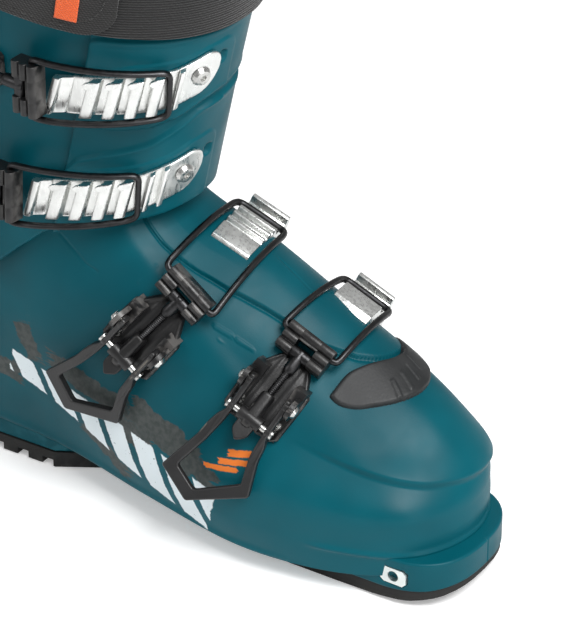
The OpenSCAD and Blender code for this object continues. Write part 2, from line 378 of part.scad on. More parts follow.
b_pivot_pins(3);  // b4_pivot_pins
b_clevis_pin(3);  // b4_clevis_pin
b_clevis(3);  // b4_clevis
b_rod(3);  // b4_rod
b_block(3);  // b4_block
b_bail(3);  // b4_bail
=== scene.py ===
import math
import bpy
import bmesh
import numpy as np
from mathutils import Matrix, Vector


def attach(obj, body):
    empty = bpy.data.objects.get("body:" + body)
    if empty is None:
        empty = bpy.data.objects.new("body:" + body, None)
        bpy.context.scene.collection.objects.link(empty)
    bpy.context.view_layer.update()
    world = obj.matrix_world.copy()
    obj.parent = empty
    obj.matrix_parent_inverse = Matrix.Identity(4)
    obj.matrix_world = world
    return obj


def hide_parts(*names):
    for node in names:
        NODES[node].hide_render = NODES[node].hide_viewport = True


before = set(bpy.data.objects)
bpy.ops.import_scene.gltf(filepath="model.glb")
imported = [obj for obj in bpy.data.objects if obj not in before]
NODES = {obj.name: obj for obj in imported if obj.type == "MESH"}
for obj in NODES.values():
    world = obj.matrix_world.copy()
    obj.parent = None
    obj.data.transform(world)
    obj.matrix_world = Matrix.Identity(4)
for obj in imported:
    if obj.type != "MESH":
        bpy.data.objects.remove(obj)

MM = 0.001
rng = np.random.default_rng(11)
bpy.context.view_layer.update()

# ------------------------------------------------------------------ shapes shared with the CAD (millimetres)
NET = np.array([
[[144,2,16],[132,-27,14],[100,-41,10],[55,-47,9.8],[2,-42,13],[-52,-34,16],[-118,-32,20],[-147,0,20],[-118,32,20],[-52,34,16],[2,36,14],[55,44,9.8],[100,41,10],[133,30,14]],
[[145,2,32],[132,-28,31],[100,-43,27],[54,-51,27],[2,-47,32],[-54,-38,38],[-118,-33.5,42],[-147.5,0,42],[-118,33.5,42],[-54,38,38],[2,42,32],[56,49,28],[100,45,29],[135,31,32]],
[[143,3,47],[129,-29,46],[98,-43,45],[53,-50,48],[0,-46,56],[-56,-41,62],[-116,-34,60],[-146.5,0,60],[-116,34,60],[-56,41,62],[0,45,56],[56,49,52],[100,46,48],[133,33,48]],
[[124,5,68],[107,-20,63.5],[83,-32,63],[46,-40,70],[-4,-43,80],[-60,-43,84],[-113,-34,78],[-144.5,0,78],[-113,34,78],[-60,43,84],[-2,43,81],[50,43,76],[91,40,71.5],[116,28,69.5]],
[[82,5,90.5],[69,-15,86.5],[52,-27,85],[28,-35,92],[-14,-40,102],[-64,-42,103],[-110,-33.5,94],[-142,0,92],[-110,33.5,94],[-64,42,103],[-12,40,103],[33,38,97],[63,34,93],[80,21,92]],
[[34,4,119],[28,-13,114],[18,-25,112],[1,-31,117],[-30,-36,122],[-70,-40,122],[-107,-32,108],[-138,0,104],[-107,32,108],[-70,40,122],[-28,37,123],[5,33,119],[24,28,118],[34,16,119]],
[[-7,0,138],[-9,-12,138],[-14,-21,138],[-24,-28,140],[-45,-34,142],[-74,-37,139],[-104,-30,124],[-133,0,119],[-104,30,124],[-74,37,139],[-45,34,142],[-24,28,140],[-14,22,138],[-9,13,138]],
[[-18,0,164],[-20,-10,164],[-25,-18,164],[-33,-25,164],[-50,-31,162],[-76,-34,156],[-101,-28,141],[-125,0,134],[-101,28,141],[-76,34,156],[-50,31,162],[-33,25,164],[-25,18,164],[-20,10,164]]], float)
WALL = 4.2
CUFF_T = 3.5
CZ = [100,122,141,165,195,230,262,300]
CF = [-2,0,3,8.5,15,23,29.5,36]
CB = [-149,-152,-148,-142,-131,-118,-108,-98]
CY = [49,49.5,49.5,49,49.5,51,53.5,57]


def unit(v):
    v = np.asarray(v, float)
    return v / np.maximum(np.linalg.norm(v, axis=-1, keepdims=True), 1e-9)


def ss(a, b, x):
    t = np.clip((x - a) / (b - a), 0, 1)
    return t * t * (3 - 2 * t)


def cr(a, b, c, d, t):
    return 0.5 * ((2 * b) + (c - a) * t + (2 * a - 5 * b + 4 * c - d) * t * t + (3 * b - a - 3 * c + d) * t ** 3)


def netpt(u, v):
    u = np.mod(np.asarray(u, float), 14); v = np.asarray(v, float)
    i = np.floor(u).astype(int); t = (u - i)[..., None]
    j = np.clip(np.floor(v).astype(int), 0, 6); s = (v - j)[..., None]
    def C(jj):
        jj = np.clip(jj, 0, 7)
        return cr(NET[jj, (i - 1) % 14], NET[jj, i % 14], NET[jj, (i + 1) % 14], NET[jj, (i + 2) % 14], t)
    return cr(C(j - 1), C(j), C(j + 1), C(j + 2), s)


def netn(u, v):
    e = 0.02
    return unit(np.cross(netpt(u, np.minimum(v + e, 7)) - netpt(u, np.maximum(v - e, 0)), netpt(u + e, v) - netpt(u - e, v)))


def sp(c, p):
    return np.sign(c) * np.abs(c) ** p


def cpt(f, z):
    f = np.radians(np.asarray(f, float)); z = np.asarray(z, float) + 0 * f; f = f + 0 * z
    cf, cb, cy = np.interp(z, CZ, CF), np.interp(z, CZ, CB), np.interp(z, CZ, CY)
    a = (cf - cb) / 2; c = (cf + cb) / 2
    return np.stack([c + a * sp(np.cos(f), .9), cy * sp(np.sin(f), .9), z], -1)


def cnm(f, z):
    return unit(np.cross(cpt(f + 2., z) - cpt(f - 2., z), cpt(f, z + 3.) - cpt(f, z - 3.)))


def coff(f, z, d):
    return cpt(f, z) + np.asarray(d, float)[..., None] * cnm(f, z)


def fr(o, x, h):
    X = unit(x); h = np.array(h, float); Y = unit(-(h - (h @ X) * X)); Z = np.cross(X, Y)
    return np.array(o, float), X, Y, Z


def cfr(f, z):
    Z = cnm(f, z); t = unit(cpt(f + 2, z) - cpt(f - 2, z))
    return cpt(f, z), t, np.cross(Z, t), Z


def place(F, V):
    V = np.asarray(V, float)
    return F[0] + V[..., :1] * F[1] + V[..., 1:2] * F[2] + V[..., 2:3] * F[3]


c1, c2 = cfr(-105.5, 213), cfr(-106, 157.5)
FR = [(c1[0] + 8 * c1[3], c1[1], c1[2], c1[3]), (c2[0] + 8 * c2[3], c2[1], c2[2], c2[3]),
      fr([3.6, -47.5, 99.4], [0.596, 0.05, 0.80], [0.80, 0, -0.596]),
      fr([62.8, -35, 86], [0.361, 0.464, 0.809], [0.9, 0.05, -0.43])]
QX, QZ = -14, 0.6
TW = [coff(-81.5, 213, 8.2), coff(-82, 157.5, 8.2), np.array([18.4, -31, 121.2]), np.array([70.2, -10.6, 98.4])]
KW = [coff(-33, 214.3, 4.3), coff(-37.5, 162, 4.3), np.array([16.0, 30.8, 126.4]), np.array([67.0, 37.8, 99.2])]
KN = [cnm(-33, 214.3), cnm(-37.5, 162), np.array([0.30, 0.50, 0.81]), np.array([0.34, 0.45, 0.82])]
RF, RL, TP = [], [], []
for k in range(4):
    F = FR[k]; d = TW[k] - F[0]; tl = np.array([d @ F[1], 0, d @ F[3]]); q = np.array([QX, 0, QZ])
    X = unit(place(F, tl) - place(F, q))
    RF.append((place(F, q), X, F[2], np.cross(X, F[2]))); RL.append(float(np.linalg.norm(tl - q))); TP.append(place(F, tl))


def kfr(k, n):
    X0 = unit(KW[k] - TP[k]); Z = unit(n - (n @ X0) * X0)
    return KW[k], X0, np.cross(Z, X0), Z


# ------------------------------------------------------------------ mesh helpers
def add(name, V, Fc, mat, body, slot=None, smooth=True, fix=True, weld=None, bevel=None):
    me = bpy.data.meshes.new(name)
    me.from_pydata((np.asarray(V) * MM).tolist(), [], [list(map(int, f)) for f in Fc])
    if fix or weld:
        bm = bmesh.new(); bm.from_mesh(me)
        if weld:
            bmesh.ops.remove_doubles(bm, verts=bm.verts, dist=weld * MM)
        bmesh.ops.recalc_face_normals(bm, faces=bm.faces)
        bm.to_mesh(me); bm.free()
    me.polygons.foreach_set("use_smooth", [smooth] * len(me.polygons))
    o = bpy.data.objects.new(name, me)
    bpy.context.scene.collection.objects.link(o)
    me.materials.append(mat)
    if bevel:
        b = o.modifiers.new("edge", "BEVEL"); b.width = bevel * MM; b.segments = 3; b.limit_method = "ANGLE"; b.angle_limit = math.radians(35); b.harden_normals = True
    if body:
        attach(o, body)
    return o


def gfaces(nu, nv, o=0, closed=False, flip=False):
    I, J = np.meshgrid(np.arange(nu if closed else nu - 1), np.arange(nv - 1))
    a = o + J * nu + I; b = o + J * nu + (I + 1) % nu
    F = np.stack([a, b, b + nu, a + nu], -1).reshape(-1, 4)
    return F[:, ::-1] if flip else F


def slab(P, N, top, bot, du=None, dv=None, r=9, closed=False, hole=None):
    """closed solid between two offsets of a grid, with rounded rims; du, dv: distance to the borders along u and v"""
    nv, nu = P.shape[:2]
    th = top - bot
    e = np.zeros((nv, nu)); R = np.minimum(th / 2, r)
    for d in (du, dv):
        if d is not None:
            q = np.clip(d, 0, R)
            e = np.maximum(e, R - np.sqrt(np.maximum(R * R - (R - q) ** 2, 0)))
    A = P + (top - e)[..., None] * N; B = P + (bot + e)[..., None] * N
    V = np.concatenate([A.reshape(-1, 3), B.reshape(-1, 3)]); o = nv * nu
    FA = gfaces(nu, nv, 0, closed); FB = gfaces(nu, nv, o, closed, True)
    F = []
    if hole is not None:
        n1 = nu if closed else nu - 1
        hf = hole[:-1, :n1] & hole[1:, :n1]
        keep = ~hf.reshape(-1)
        FA, FB = FA[keep], FB[keep]
        for j in range(nv - 1):
            for i in np.flatnonzero(hf[j]):
                if i == 0 or i == n1 - 1 or j == 0 or j == nv - 2: continue
                for (dj, di, x, y) in ((-1, 0, (0, 0), (0, 1)), (1, 0, (1, 0), (1, 1)), (0, -1, (0, 0), (1, 0)), (0, 1, (0, 1), (1, 1))):
                    if not hf[j + dj, i + di]:
                        p = (j + x[0]) * nu + i + x[1]; q = (j + y[0]) * nu + i + y[1]
                        F.append([p, q, q + o, p + o])
    rim = []
    idx = lambda j, i: j * nu + i
    for i in range(nu if closed else nu - 1):
        k = (i + 1) % nu
        rim.append([idx(0, i), idx(0, k), idx(0, k) + o, idx(0, i) + o]); rim.append([idx(nv - 1, i), idx(nv - 1, k), idx(nv - 1, k) + o, idx(nv - 1, i) + o])
    if not closed:
        for j in range(nv - 1):
            rim.append([idx(j, 0), idx(j + 1, 0), idx(j + 1, 0) + o, idx(j, 0) + o]); rim.append([idx(j, nu - 1), idx(j + 1, nu - 1), idx(j + 1, nu - 1) + o, idx(j, nu - 1) + o])
    return V, FA.tolist() + FB.tolist() + rim + F


def ends(n, L, r=2.0, m=5):
    """positions 0..L, n steps, closer together near both ends"""
    e = r * (1 - np.cos(np.linspace(0, math.pi / 2, m)))
    return np.concatenate([e, np.linspace(r, L - r, n)[1:-1], L - e[::-1]])


def tube(path, rad, nrm=None, n=12, closed=False, flat=1.0, cap=True):
    P = np.asarray(path, float); k = len(P)
    if closed:
        T = unit(np.roll(P, -1, 0) - np.roll(P, 1, 0))
    else:
        T = unit(np.gradient(P, axis=0))
    if nrm is None:
        a = np.array([0, 0, 1.0]) if abs(T[0][2]) < .9 else np.array([1.0, 0, 0])
        Nn = [unit(a - (a @ T[0]) * T[0])]
        for i in range(1, k):
            v = Nn[-1] - (Nn[-1] @ T[i]) * T[i]; Nn.append(unit(v))
        Nn = np.array(Nn)
    else:
        Nn = unit(nrm - (nrm * T).sum(-1, keepdims=True) * T)
    Bn = np.cross(T, Nn); rad = np.broadcast_to(np.asarray(rad, float), (k,))
    q = np.linspace(0, 2 * math.pi, n, endpoint=False)
    V = P[:, None] + rad[:, None, None] * (np.cos(q)[None, :, None] * Nn[:, None] + flat * np.sin(q)[None, :, None] * Bn[:, None])
    V = V.reshape(-1, 3)
    F = []
    for i in range(k if closed else k - 1):
        for j in range(n):
            a, b = i * n + j, i * n + (j + 1) % n; c, d = ((i + 1) % k) * n + (j + 1) % n, ((i + 1) % k) * n + j
            F.append([a, b, c, d])
    if not closed and cap:
        F += [list(range(n)), [(k - 1) * n + j for j in range(n)][::-1]]
    return V, F


def chaikin(P, it=2, closed=True):
    P = np.asarray(P, float)
    for _ in range(it):
        Q = np.roll(P, -1, 0) if closed else P[1:]
        A = P if closed else P[:-1]
        R = np.stack([.75 * A + .25 * Q, .25 * A + .75 * Q], 1).reshape(-1, P.shape[1])
        P = R if closed else np.concatenate([P[:1], R, P[-1:]])
    return P


def plate(outer, holes=(), z0=0.0, z1=1.0, bev=0.4, res=2):
    """closed plate from a 2D outline with rounded edges; returns vertices and faces in local millimetres"""
    cu = bpy.data.curves.new("tmp", "CURVE"); cu.dimensions = "2D"; cu.fill_mode = "BOTH"
    cu.extrude = max((z1 - z0) / 2 - bev, 1e-4); cu.bevel_depth = bev; cu.bevel_resolution = res; cu.offset = -bev
    for p in [outer] + list(holes):
        s = cu.splines.new("POLY"); s.points.add(len(p) - 1); s.use_cyclic_u = True
        for i, (x, y) in enumerate(p): s.points[i].co = (x, y, 0, 1)
    o = bpy.data.objects.new("tmp", cu); bpy.context.scene.collection.objects.link(o)
    dg = bpy.context.evaluated_depsgraph_get(); me = bpy.data.meshes.new_from_object(o.evaluated_get(dg))
    V = np.array([v.co for v in me.vertices], float).reshape(-1, 3); V[:, 2] += (z0 + z1) / 2
    F = [list(p.vertices) for p in me.polygons]
    bpy.data.objects.remove(o); bpy.data.curves.remove(cu); bpy.data.meshes.remove(me)
    return V, F


def roundpoly(P, r=1.2, m=3):
    """2D polygon with rounded corners"""
    P = np.asarray(P, float); out = []
    n = len(P)
    for i in range(n):
        a, b, c = P[i - 1], P[i], P[(i + 1) % n]
        ra = min(r, np.linalg.norm(a - b) * .45, np.linalg.norm(c - b) * .45)
        p0 = b + unit(a - b) * ra; p1 = b + unit(c - b) * ra
        for t in np.linspace(0, 1, m + 1):
            out.append((1 - t) ** 2 * p0 + 2 * t * (1 - t) * b + t * t * p1)
    return [tuple(p) for p in out]


def extr(poly, y0, y1, bev=0.3):
    """profile in x-z, extruded along y"""
    V, F = plate(poly, (), y0, y1, bev)
    return np.stack([V[:, 0], V[:, 2], V[:, 1]], -1), F


def join(parts):
    V, F, o = [], [], 0
    for v, f in parts:
        V.append(v); F += [[i + o for i in q] for q in f]; o += len(v)
    return np.concatenate(V), F


def lathe(prof, n=28):
    """revolved about x: prof = [(x, r)...]"""
    q = np.linspace(0, 2 * math.pi, n, endpoint=False)
    V = np.array([[x, r * math.cos(a), r * math.sin(a)] for x, r in prof for a in q]); F = []
    for i in range(len(prof) - 1):
        for j in range(n): F.append([i * n + j, i * n + (j + 1) % n, (i + 1) * n + (j + 1) % n, (i + 1) * n + j])
    F += [list(range(n)), [(len(prof) - 1) * n + j for j in range(n)][::-1]]
    return V, F


def polyd(P, C):
    """distance from points to a 3D polyline"""
    P = P.reshape(-1, 3); best = np.full(len(P), 1e9)
    for a, b in zip(C[:-1], C[1:]):
        ab = b - a; t = np.clip(((P - a) @ ab) / max(ab @ ab, 1e-9), 0, 1)
        best = np.minimum(best, np.linalg.norm(P - a - t[:, None] * ab, axis=1))
    return best


# ------------------------------------------------------------------ materials
class G:
    """small helper for node graphs"""
    def __init__(s, name):
        s.m = bpy.data.materials.new(name); s.m.use_nodes = True; s.t = s.m.node_tree; s.b = s.t.nodes["Principled BSDF"]
        s.co = s.t.nodes.new("ShaderNodeTexCoord").outputs["Object"]
    def n(s, kind, **kw):
        x = s.t.nodes.new(kind)
        for k, v in kw.items():
            if k[:2] == "i_":
                key = k[2:]; key = int(key) if key.isdigit() else key.replace("_", " ")
                if isinstance(v, bpy.types.NodeSocket): s.t.links.new(v, x.inputs[key])
                else: x.inputs[key].default_value = v
            else: setattr(x, k, v)
        return x
    def math(s, op, a, b=0.0, c=None, clamp=False):
        x = s.t.nodes.new("ShaderNodeMath"); x.operation = op; x.use_clamp = clamp
        for i, v in enumerate((a, b) if c is None else (a, b, c)):
            if isinstance(v, bpy.types.NodeSocket): s.t.links.new(v, x.inputs[i])
            else: x.inputs[i].default_value = v
        return x.outputs[0]
    def noise(s, scale, detail=4, rough=.5, vec=None, dist=0.0):
        return s.n("ShaderNodeTexNoise", i_Vector=vec or s.co, i_Scale=scale, i_Detail=detail, i_Roughness=rough, i_Distortion=dist).outputs["Fac"]
    def ramp(s, fac, a, b, lo=0.0, hi=1.0):
        return s.n("ShaderNodeMapRange", i_Value=fac, i_From_Min=a, i_From_Max=b, i_To_Min=lo, i_To_Max=hi, interpolation_type="SMOOTHSTEP").outputs["Result"]
    def mix(s, fac, a, b):
        x = s.t.nodes.new("ShaderNodeMix"); x.data_type = "RGBA"
        for i, v in ((0, fac), (6, a), (7, b)):
            if isinstance(v, bpy.types.NodeSocket): s.t.links.new(v, x.inputs[i])
            else: x.inputs[i].default_value = (*v, 1) if i and len(v) == 3 else v
        return x.outputs[2]
    def set(s, key, v):
        if isinstance(v, bpy.types.NodeSocket): s.t.links.new(v, s.b.inputs[key])
        elif isinstance(v, tuple): s.b.inputs[key].default_value = (*v, 1) if len(v) == 3 else v
        else: s.b.inputs[key].default_value = v
    def bump(s, h, strength=.3, dist=.0005, nrm=None):
        x = s.n("ShaderNodeBump", i_Height=h, i_Strength=strength, i_Distance=dist)
        if nrm: s.t.links.new(nrm, x.inputs["Normal"])
        return x.outputs["Normal"]
    def edge(s, a=.52, b=.58):
        return s.ramp(s.n("ShaderNodeNewGeometry").outputs["Pointiness"], a, b)


def lin(r, g, b):
    f = lambda c: (c / 255 / 12.92) if c / 255 <= .04045 else ((c / 255 + .055) / 1.055) ** 2.4
    return (f(r), f(g), f(b))


def plastic(name, col, col2, rough=.4, grain=900, gs=.12, wear=None, var=18, spec=.45, coat=0.0):
    g = G(name)
    c = g.mix(g.ramp(g.noise(var, 3), .35, .65), col, col2)
    fine = g.noise(grain, 2)
    if wear: c = g.mix(g.math("MULTIPLY", g.edge(.535, .6), g.ramp(g.noise(160, 4), .42, .6)), c, wear)
    g.set("Base Color", c); g.set("Roughness", g.math("ADD", g.ramp(g.noise(60, 3), .3, .7, rough - .05, rough + .06), g.math("MULTIPLY", fine, .04)))
    g.set("Specular IOR Level", spec); g.set("Coat Weight", coat)
    g.set("Normal", g.bump(fine, gs, .0003))
    return g


def metal(name, col, rough=.25, streak=True, axis=(1, 1, 1), dark=.75, bump=.12):
    g = G(name)
    v = g.n("ShaderNodeMapping", i_Vector=g.co, i_Scale=axis).outputs[0]
    st = g.noise(700, 3, .6, v)
    c = g.mix(g.ramp(g.noise(140, 3), .3, .7), tuple(x * dark for x in col), col)
    g.set("Base Color", c); g.set("Metallic", 1.0)
    g.set("Roughness", g.ramp(st, .3, .7, rough - .06, rough + .1))
    g.set("Normal", g.bump(st, bump, .0002))
    return g.m


TEAL = lin(0, 72, 83); TEAL2 = lin(2, 84, 96)


def teal_base(name):
    g = plastic(name, TEAL, TEAL2, .38, 1400, .10, lin(44, 108, 120), 14, .15)
    return g


def shell_paint():
    """teal plastic with a generic ragged stripe band, brush patches and short dashes on the outer side"""
    g = teal_base("teal_shell_printed")
    base = g.b.inputs["Base Color"].links[0].from_socket
    sep = g.n("ShaderNodeSeparateXYZ", i_0=g.co)
    x, y, z = (g.math("MULTIPLY", sep.outputs[i], 1000.0) for i in range(3))
    lat = g.ramp(y, -31, -33)
    nz = lambda s, d=4: g.math("SUBTRACT", g.noise(s, d, .62), .5)
    def rot(cx, cz, ang):
        ca, sa = math.cos(math.radians(ang)), math.sin(math.radians(ang))
        dx, dz = g.math("SUBTRACT", x, cx), g.math("SUBTRACT", z, cz)
        a = g.math("ADD", g.math("MULTIPLY", dx, ca), g.math("MULTIPLY", dz, sa))
        b = g.math("SUBTRACT", g.math("MULTIPLY", dz, ca), g.math("MULTIPLY", dx, sa))
        return a, b
    def box(a, b, ha, hb, soft=.35):
        ma = g.ramp(g.math("ABSOLUTE", a), ha + soft, ha - soft); mb = g.ramp(g.math("ABSOLUTE", b), hb + soft, hb - soft)
        return g.math("MULTIPLY", ma, mb)
    ragged = nz(330, 5); rough_e = nz(120, 5)
    # brush patches
    out = base
    grey = g.mix(g.ramp(g.noise(400, 4), .3, .7), lin(60, 64, 62), lin(78, 80, 78))
    streakv = g.n("ShaderNodeMapping", i_Vector=g.co, i_Scale=(.35, 1, 2.4), i_Rotation=(0, math.radians(-12), 0)).outputs[0]
    brush = g.math("SUBTRACT", g.noise(170, 5, .7, streakv), .5)
    pm = None
    for cx, cz, ang, ha, hb in ((-62, 73, -70, 11, 5), (-28, 62, -12, 22, 6), (-6, 48, -18, 14, 5.5), (14, 54, -22, 20, 7.5), (34, 46, -30, 12, 5), (-78, 52, -10, 9, 5), (-20, 30, -34, 16, 4)):
        a, b = rot(cx, cz, ang)
        a2 = g.math("ADD", a, g.math("MULTIPLY", brush, 26.0)); b2 = g.math("ADD", b, g.math("MULTIPLY", rough_e, 12.0))
        m = box(a2, b2, ha, hb, .5)
        pm = m if pm is None else g.math("MAXIMUM", pm, m)
    out = g.mix(g.math("MULTIPLY", g.math("MULTIPLY", pm, lat), .93), out, grey)
    # white band made of slanted ragged bars
    a, b = rot(-16, 41, -16)
    half = g.ramp(a, -62, 60, 6.5, 12.5)
    sl = g.math("ADD", a, g.math("MULTIPLY", b, .75))
    sl = g.math("ADD", sl, g.math("MULTIPLY", ragged, 2.2))
    per = 19.0
    fr_ = g.math("MULTIPLY", g.math("FRACT", g.math("DIVIDE", g.math("ADD", sl, 400.0), per)), per)
    bar = g.math("MULTIPLY", g.ramp(fr_, .1, .7), g.ramp(fr_, 14.6, 13.9))
    bb = g.math("ADD", b, g.math("MULTIPLY", ragged, 2.0))
    bm = g.ramp(g.math("SUBTRACT", g.math("ABSOLUTE", bb), half), .35, -.35)
    am = g.ramp(g.math("ABSOLUTE", g.math("ADD", a, g.math("MULTIPLY", ragged, 3.0))), 61.0, 60.4)
    wm = g.math("MULTIPLY", g.math("MULTIPLY", bar, bm), am)
    wm = g.math("MULTIPLY", g.math("MULTIPLY", wm, lat), g.ramp(g.noise(700, 3), .26, .31))
    out = g.mix(wm, out, lin(226, 236, 240))
    # short orange dashes
    om = None
    for cx, cz, ang, ha, hb in ((55.5, 57.5, 8, 6.2, 1.3), (53.0, 53.6, 8, 7.2, 1.2), (47.5, 49.8, 8, 8.2, 1.1)):
        a, b = rot(cx, cz, ang)
        m = box(g.math("ADD", a, g.math("MULTIPLY", brush, 7.0)), g.math("ADD", b, g.math("MULTIPLY", ragged, 1.6)), ha, hb, .25)
        om = m if om is None else g.math("MAXIMUM", om, m)
    out = g.mix(g.math("MULTIPLY", om, lat), out, lin(226, 122, 52))
    g.set("Base Color", out)
    return g.m


def fabric(name, col, col2, scale=1500, rib=None, rough=.85, strength=.6):
    g = G(name)
    wv = g.n("ShaderNodeTexWave", i_Vector=g.co, i_Scale=scale / 6.3, i_Distortion=.6, i_Detail=1.0, bands_direction="Z").outputs["Fac"]
    wd = g.n("ShaderNodeTexWave", i_Vector=g.co, i_Scale=scale / 6.3, i_Distortion=.6, i_Detail=1.0, bands_direction="DIAGONAL").outputs["Fac"]
    h = g.math("MULTIPLY", g.math("ADD", wv, wd), .5)
    if rib:
        rb = g.n("ShaderNodeTexWave", i_Vector=g.co, i_Scale=rib, i_Distortion=.15, bands_direction="Z").outputs["Fac"]
        h = g.math("ADD", g.math("MULTIPLY", h, .35), rb)
    fz = g.noise(2600, 2)
    c = g.mix(g.math("MULTIPLY", h, g.ramp(g.noise(40, 3), .3, .7, .5, 1.0)), col, col2)
    g.set("Base Color", c); g.set("Roughness", rough); g.set("Specular IOR Level", .3)
    g.set("Sheen Weight", .25); g.set("Sheen Roughness", .5)
    g.set("Normal", g.bump(fz, .25, .0003, g.bump(h, strength, .0005)))
    return g.m


M = {}
M["shell"] = shell_paint()
M["teal"] = teal_base("teal_plastic").m
M["black"] = plastic("black_plastic", lin(15, 15, 16), lin(24, 24, 25), .36, 1100, .22, lin(88, 86, 84), 40, .5).m
M["lever"] = plastic("black_lever_coating", lin(24, 24, 25), lin(34, 34, 35), .34, 1500, .3, lin(104, 100, 92), 40, .55).m
M["rubber"] = plastic("rubber_sole", lin(28, 28, 28), lin(38, 37, 36), .72, 700, .5, lin(70, 70, 68), 60, .35).m
M["cover"] = plastic("rubber_cover", lin(32, 34, 35), lin(44, 45, 46), .5, 800, .35, lin(90, 90, 90), 60, .4).m
M["steel"] = metal("steel", (.72, .72, .70), .24)
M["dark_steel"] = metal("black_oxide_steel", (.055, .055, .057), .36)
M["alu"] = metal("ladder_aluminium", (.88, .89, .87), .3, axis=(1, 1, .15), dark=.9, bump=.04)
M["insert"] = metal("insert_steel", (.80, .84, .82), .42, dark=.88, bump=.05)
M["grey"] = plastic("grey_board", lin(92, 94, 94), lin(108, 108, 106), .6, 600, .4, None, 40).m
M["liner"] = fabric("liner_fabric", lin(26, 26, 28), lin(52, 52, 54), 1700, None)
M["lining"] = fabric("liner_inner_fleece", lin(44, 44, 46), lin(72, 72, 74), 900, None, .95, .9)
M["strap"] = fabric("strap_webbing", lin(12, 12, 13), lin(30, 30, 30), 1500, 260, .8, .6)
M["strap2"] = fabric("strap_cover", lin(18, 18, 18), lin(32, 31, 30), 1900, None, .7, .5)
M["thread"] = fabric("stitch_thread", lin(34, 34, 34), lin(70, 70, 68), 2500, None, .9)
M["label"] = fabric("label_fabric", lin(222, 88, 36), lin(240, 112, 52), 2200, None, .8)


# ------------------------------------------------------------------ lower shell
def uv_line(us, vs, n=60):
    """smooth 3D polyline on the shell through (u, v) points"""
    t = np.linspace(0, len(us) - 1, n)
    return netpt(np.interp(t, range(len(us)), us), np.interp(t, range(len(vs)), vs))


FLAP_U = [1.3, 1.5, 1.5, 1.38, 1.26, 1.09, .96, .85, .66, .55, .37, .03, -.27, -1.05, -1.9, -2.6]
FLAP_V = [7.0, 6.14, 5.72, 5.5, 5.34, 5.17, 5.01, 4.91, 4.69, 4.52, 4.21, 3.98, 3.88, 3.70, 3.5, 3.35]
CREST_U = [-2.2, -1.6, -1.1, -.65, -.3, .17, .6, 1.07, 1.46, 1.9, 2.3]
CREST_V = [1.95, 1.95, 1.97, 2.02, 2.12, 2.25, 2.4, 2.64, 2.82, 3.0, 3.15]


def shell_relief(u, v, P):
    """height of moulded details over the plain skin, in mm"""
    sh = u.shape
    uu = np.mod(u + 7, 14) - 7
    # overlapping flap on the instep
    line = uv_line(FLAP_U, FLAP_V, 120)
    dist = polyd(P, line).reshape(sh)
    ufl = np.interp(v, FLAP_V[::-1], FLAP_U[::-1]); vlow = np.interp(uu, FLAP_U[::-1][:6], FLAP_V[::-1][:6])
    inside = np.where(uu < .03, v > vlow, (uu < ufl) & (v > 3.98))
    s = np.where(inside, dist, -dist)
    fade = ss(-4.2, -2.2, uu) * ss(3.2, 3.45, v)
    d = fade * (1.3 * ss(-.45, .45, s) - 1.1 * np.exp(-((s + .9) / .7) ** 2))
    ch = ss(4.9, 5.5, v) * (inside)
    d -= fade * ch * 1.0 * np.clip((11 - s) / 11, 0, 1)
    # ridge round the toe box with the wall tucked in below it
    cl = uv_line(CREST_U, CREST_V, 90)
    dc = polyd(P, cl).reshape(sh)
    vc = np.interp(uu, CREST_U, CREST_V)
    sc = np.where(v > vc, dc, -dc)
    fc = ss(-2.3, -1.0, uu) * ss(2.35, 1.3, uu) * ss(.9, 1.5, v)
    d += fc * np.where(sc > 0, 1.5 * np.exp(-(sc / 11) ** 2), 1.5 - 2.7 * ss(0, 3.0, -sc) + 1.2 * ss(5, 34, -sc))
    # bead where the wall meets the ledge
    d += 1.1 * np.exp(-((P[..., 2] - 23.4) / 1.5) ** 2) * ss(84, 100, P[..., 0])
    # lip along the arch edge
    d += .9 * np.exp(-((v - .14) / .12) ** 2) * (ss(2.4, 2.9, np.abs(uu)) * ss(5.9, 5.2, np.abs(uu)))
    # thin moulded lines
    for L, w, h in (([(-45.3, -36.4, 131), (-37.5, -36.5, 124.9), (-31.3, -36.8, 120), (-25.9, -36.5, 118.2)], .55, -.45),
                    ([(-5.8, -32.9, 117.2), (-.8, -26, 124.1)], .5, .35),
                    ([(35.4, 13.9, 119), (53.5, 11.8, 108.5), (60, 17, 104)], .55, -.4),
                    ([(94.8, -7.6, 76.5), (102.5, -.4, 76.8), (111, 7.6, 75.4)], .5, -.35),
                    ([(-5.6, -37, 105), (8, -33, 108)], .5, .3)):
        q = polyd(P, np.array(L, float)).reshape(sh)
        d += h * np.exp(-(q / w) ** 2)
    # three short raised bars below the instep, a plain pattern
    for a, b in (((29, -25.5, 103), (36, -24, 100)), ((39, -23.6, 98.6), (46, -22.4, 95.6)), ((33, -28.5, 99), (44, -26.5, 94.4))):
        q = polyd(P, np.array([a, b], float)).reshape(sh)
        d += .45 * ss(1.5, .9, q)
    return d


def shell_at(u, v):
    P = netpt(u, v)
    return P + shell_relief(u, v, P)[..., None] * netn(u, v)


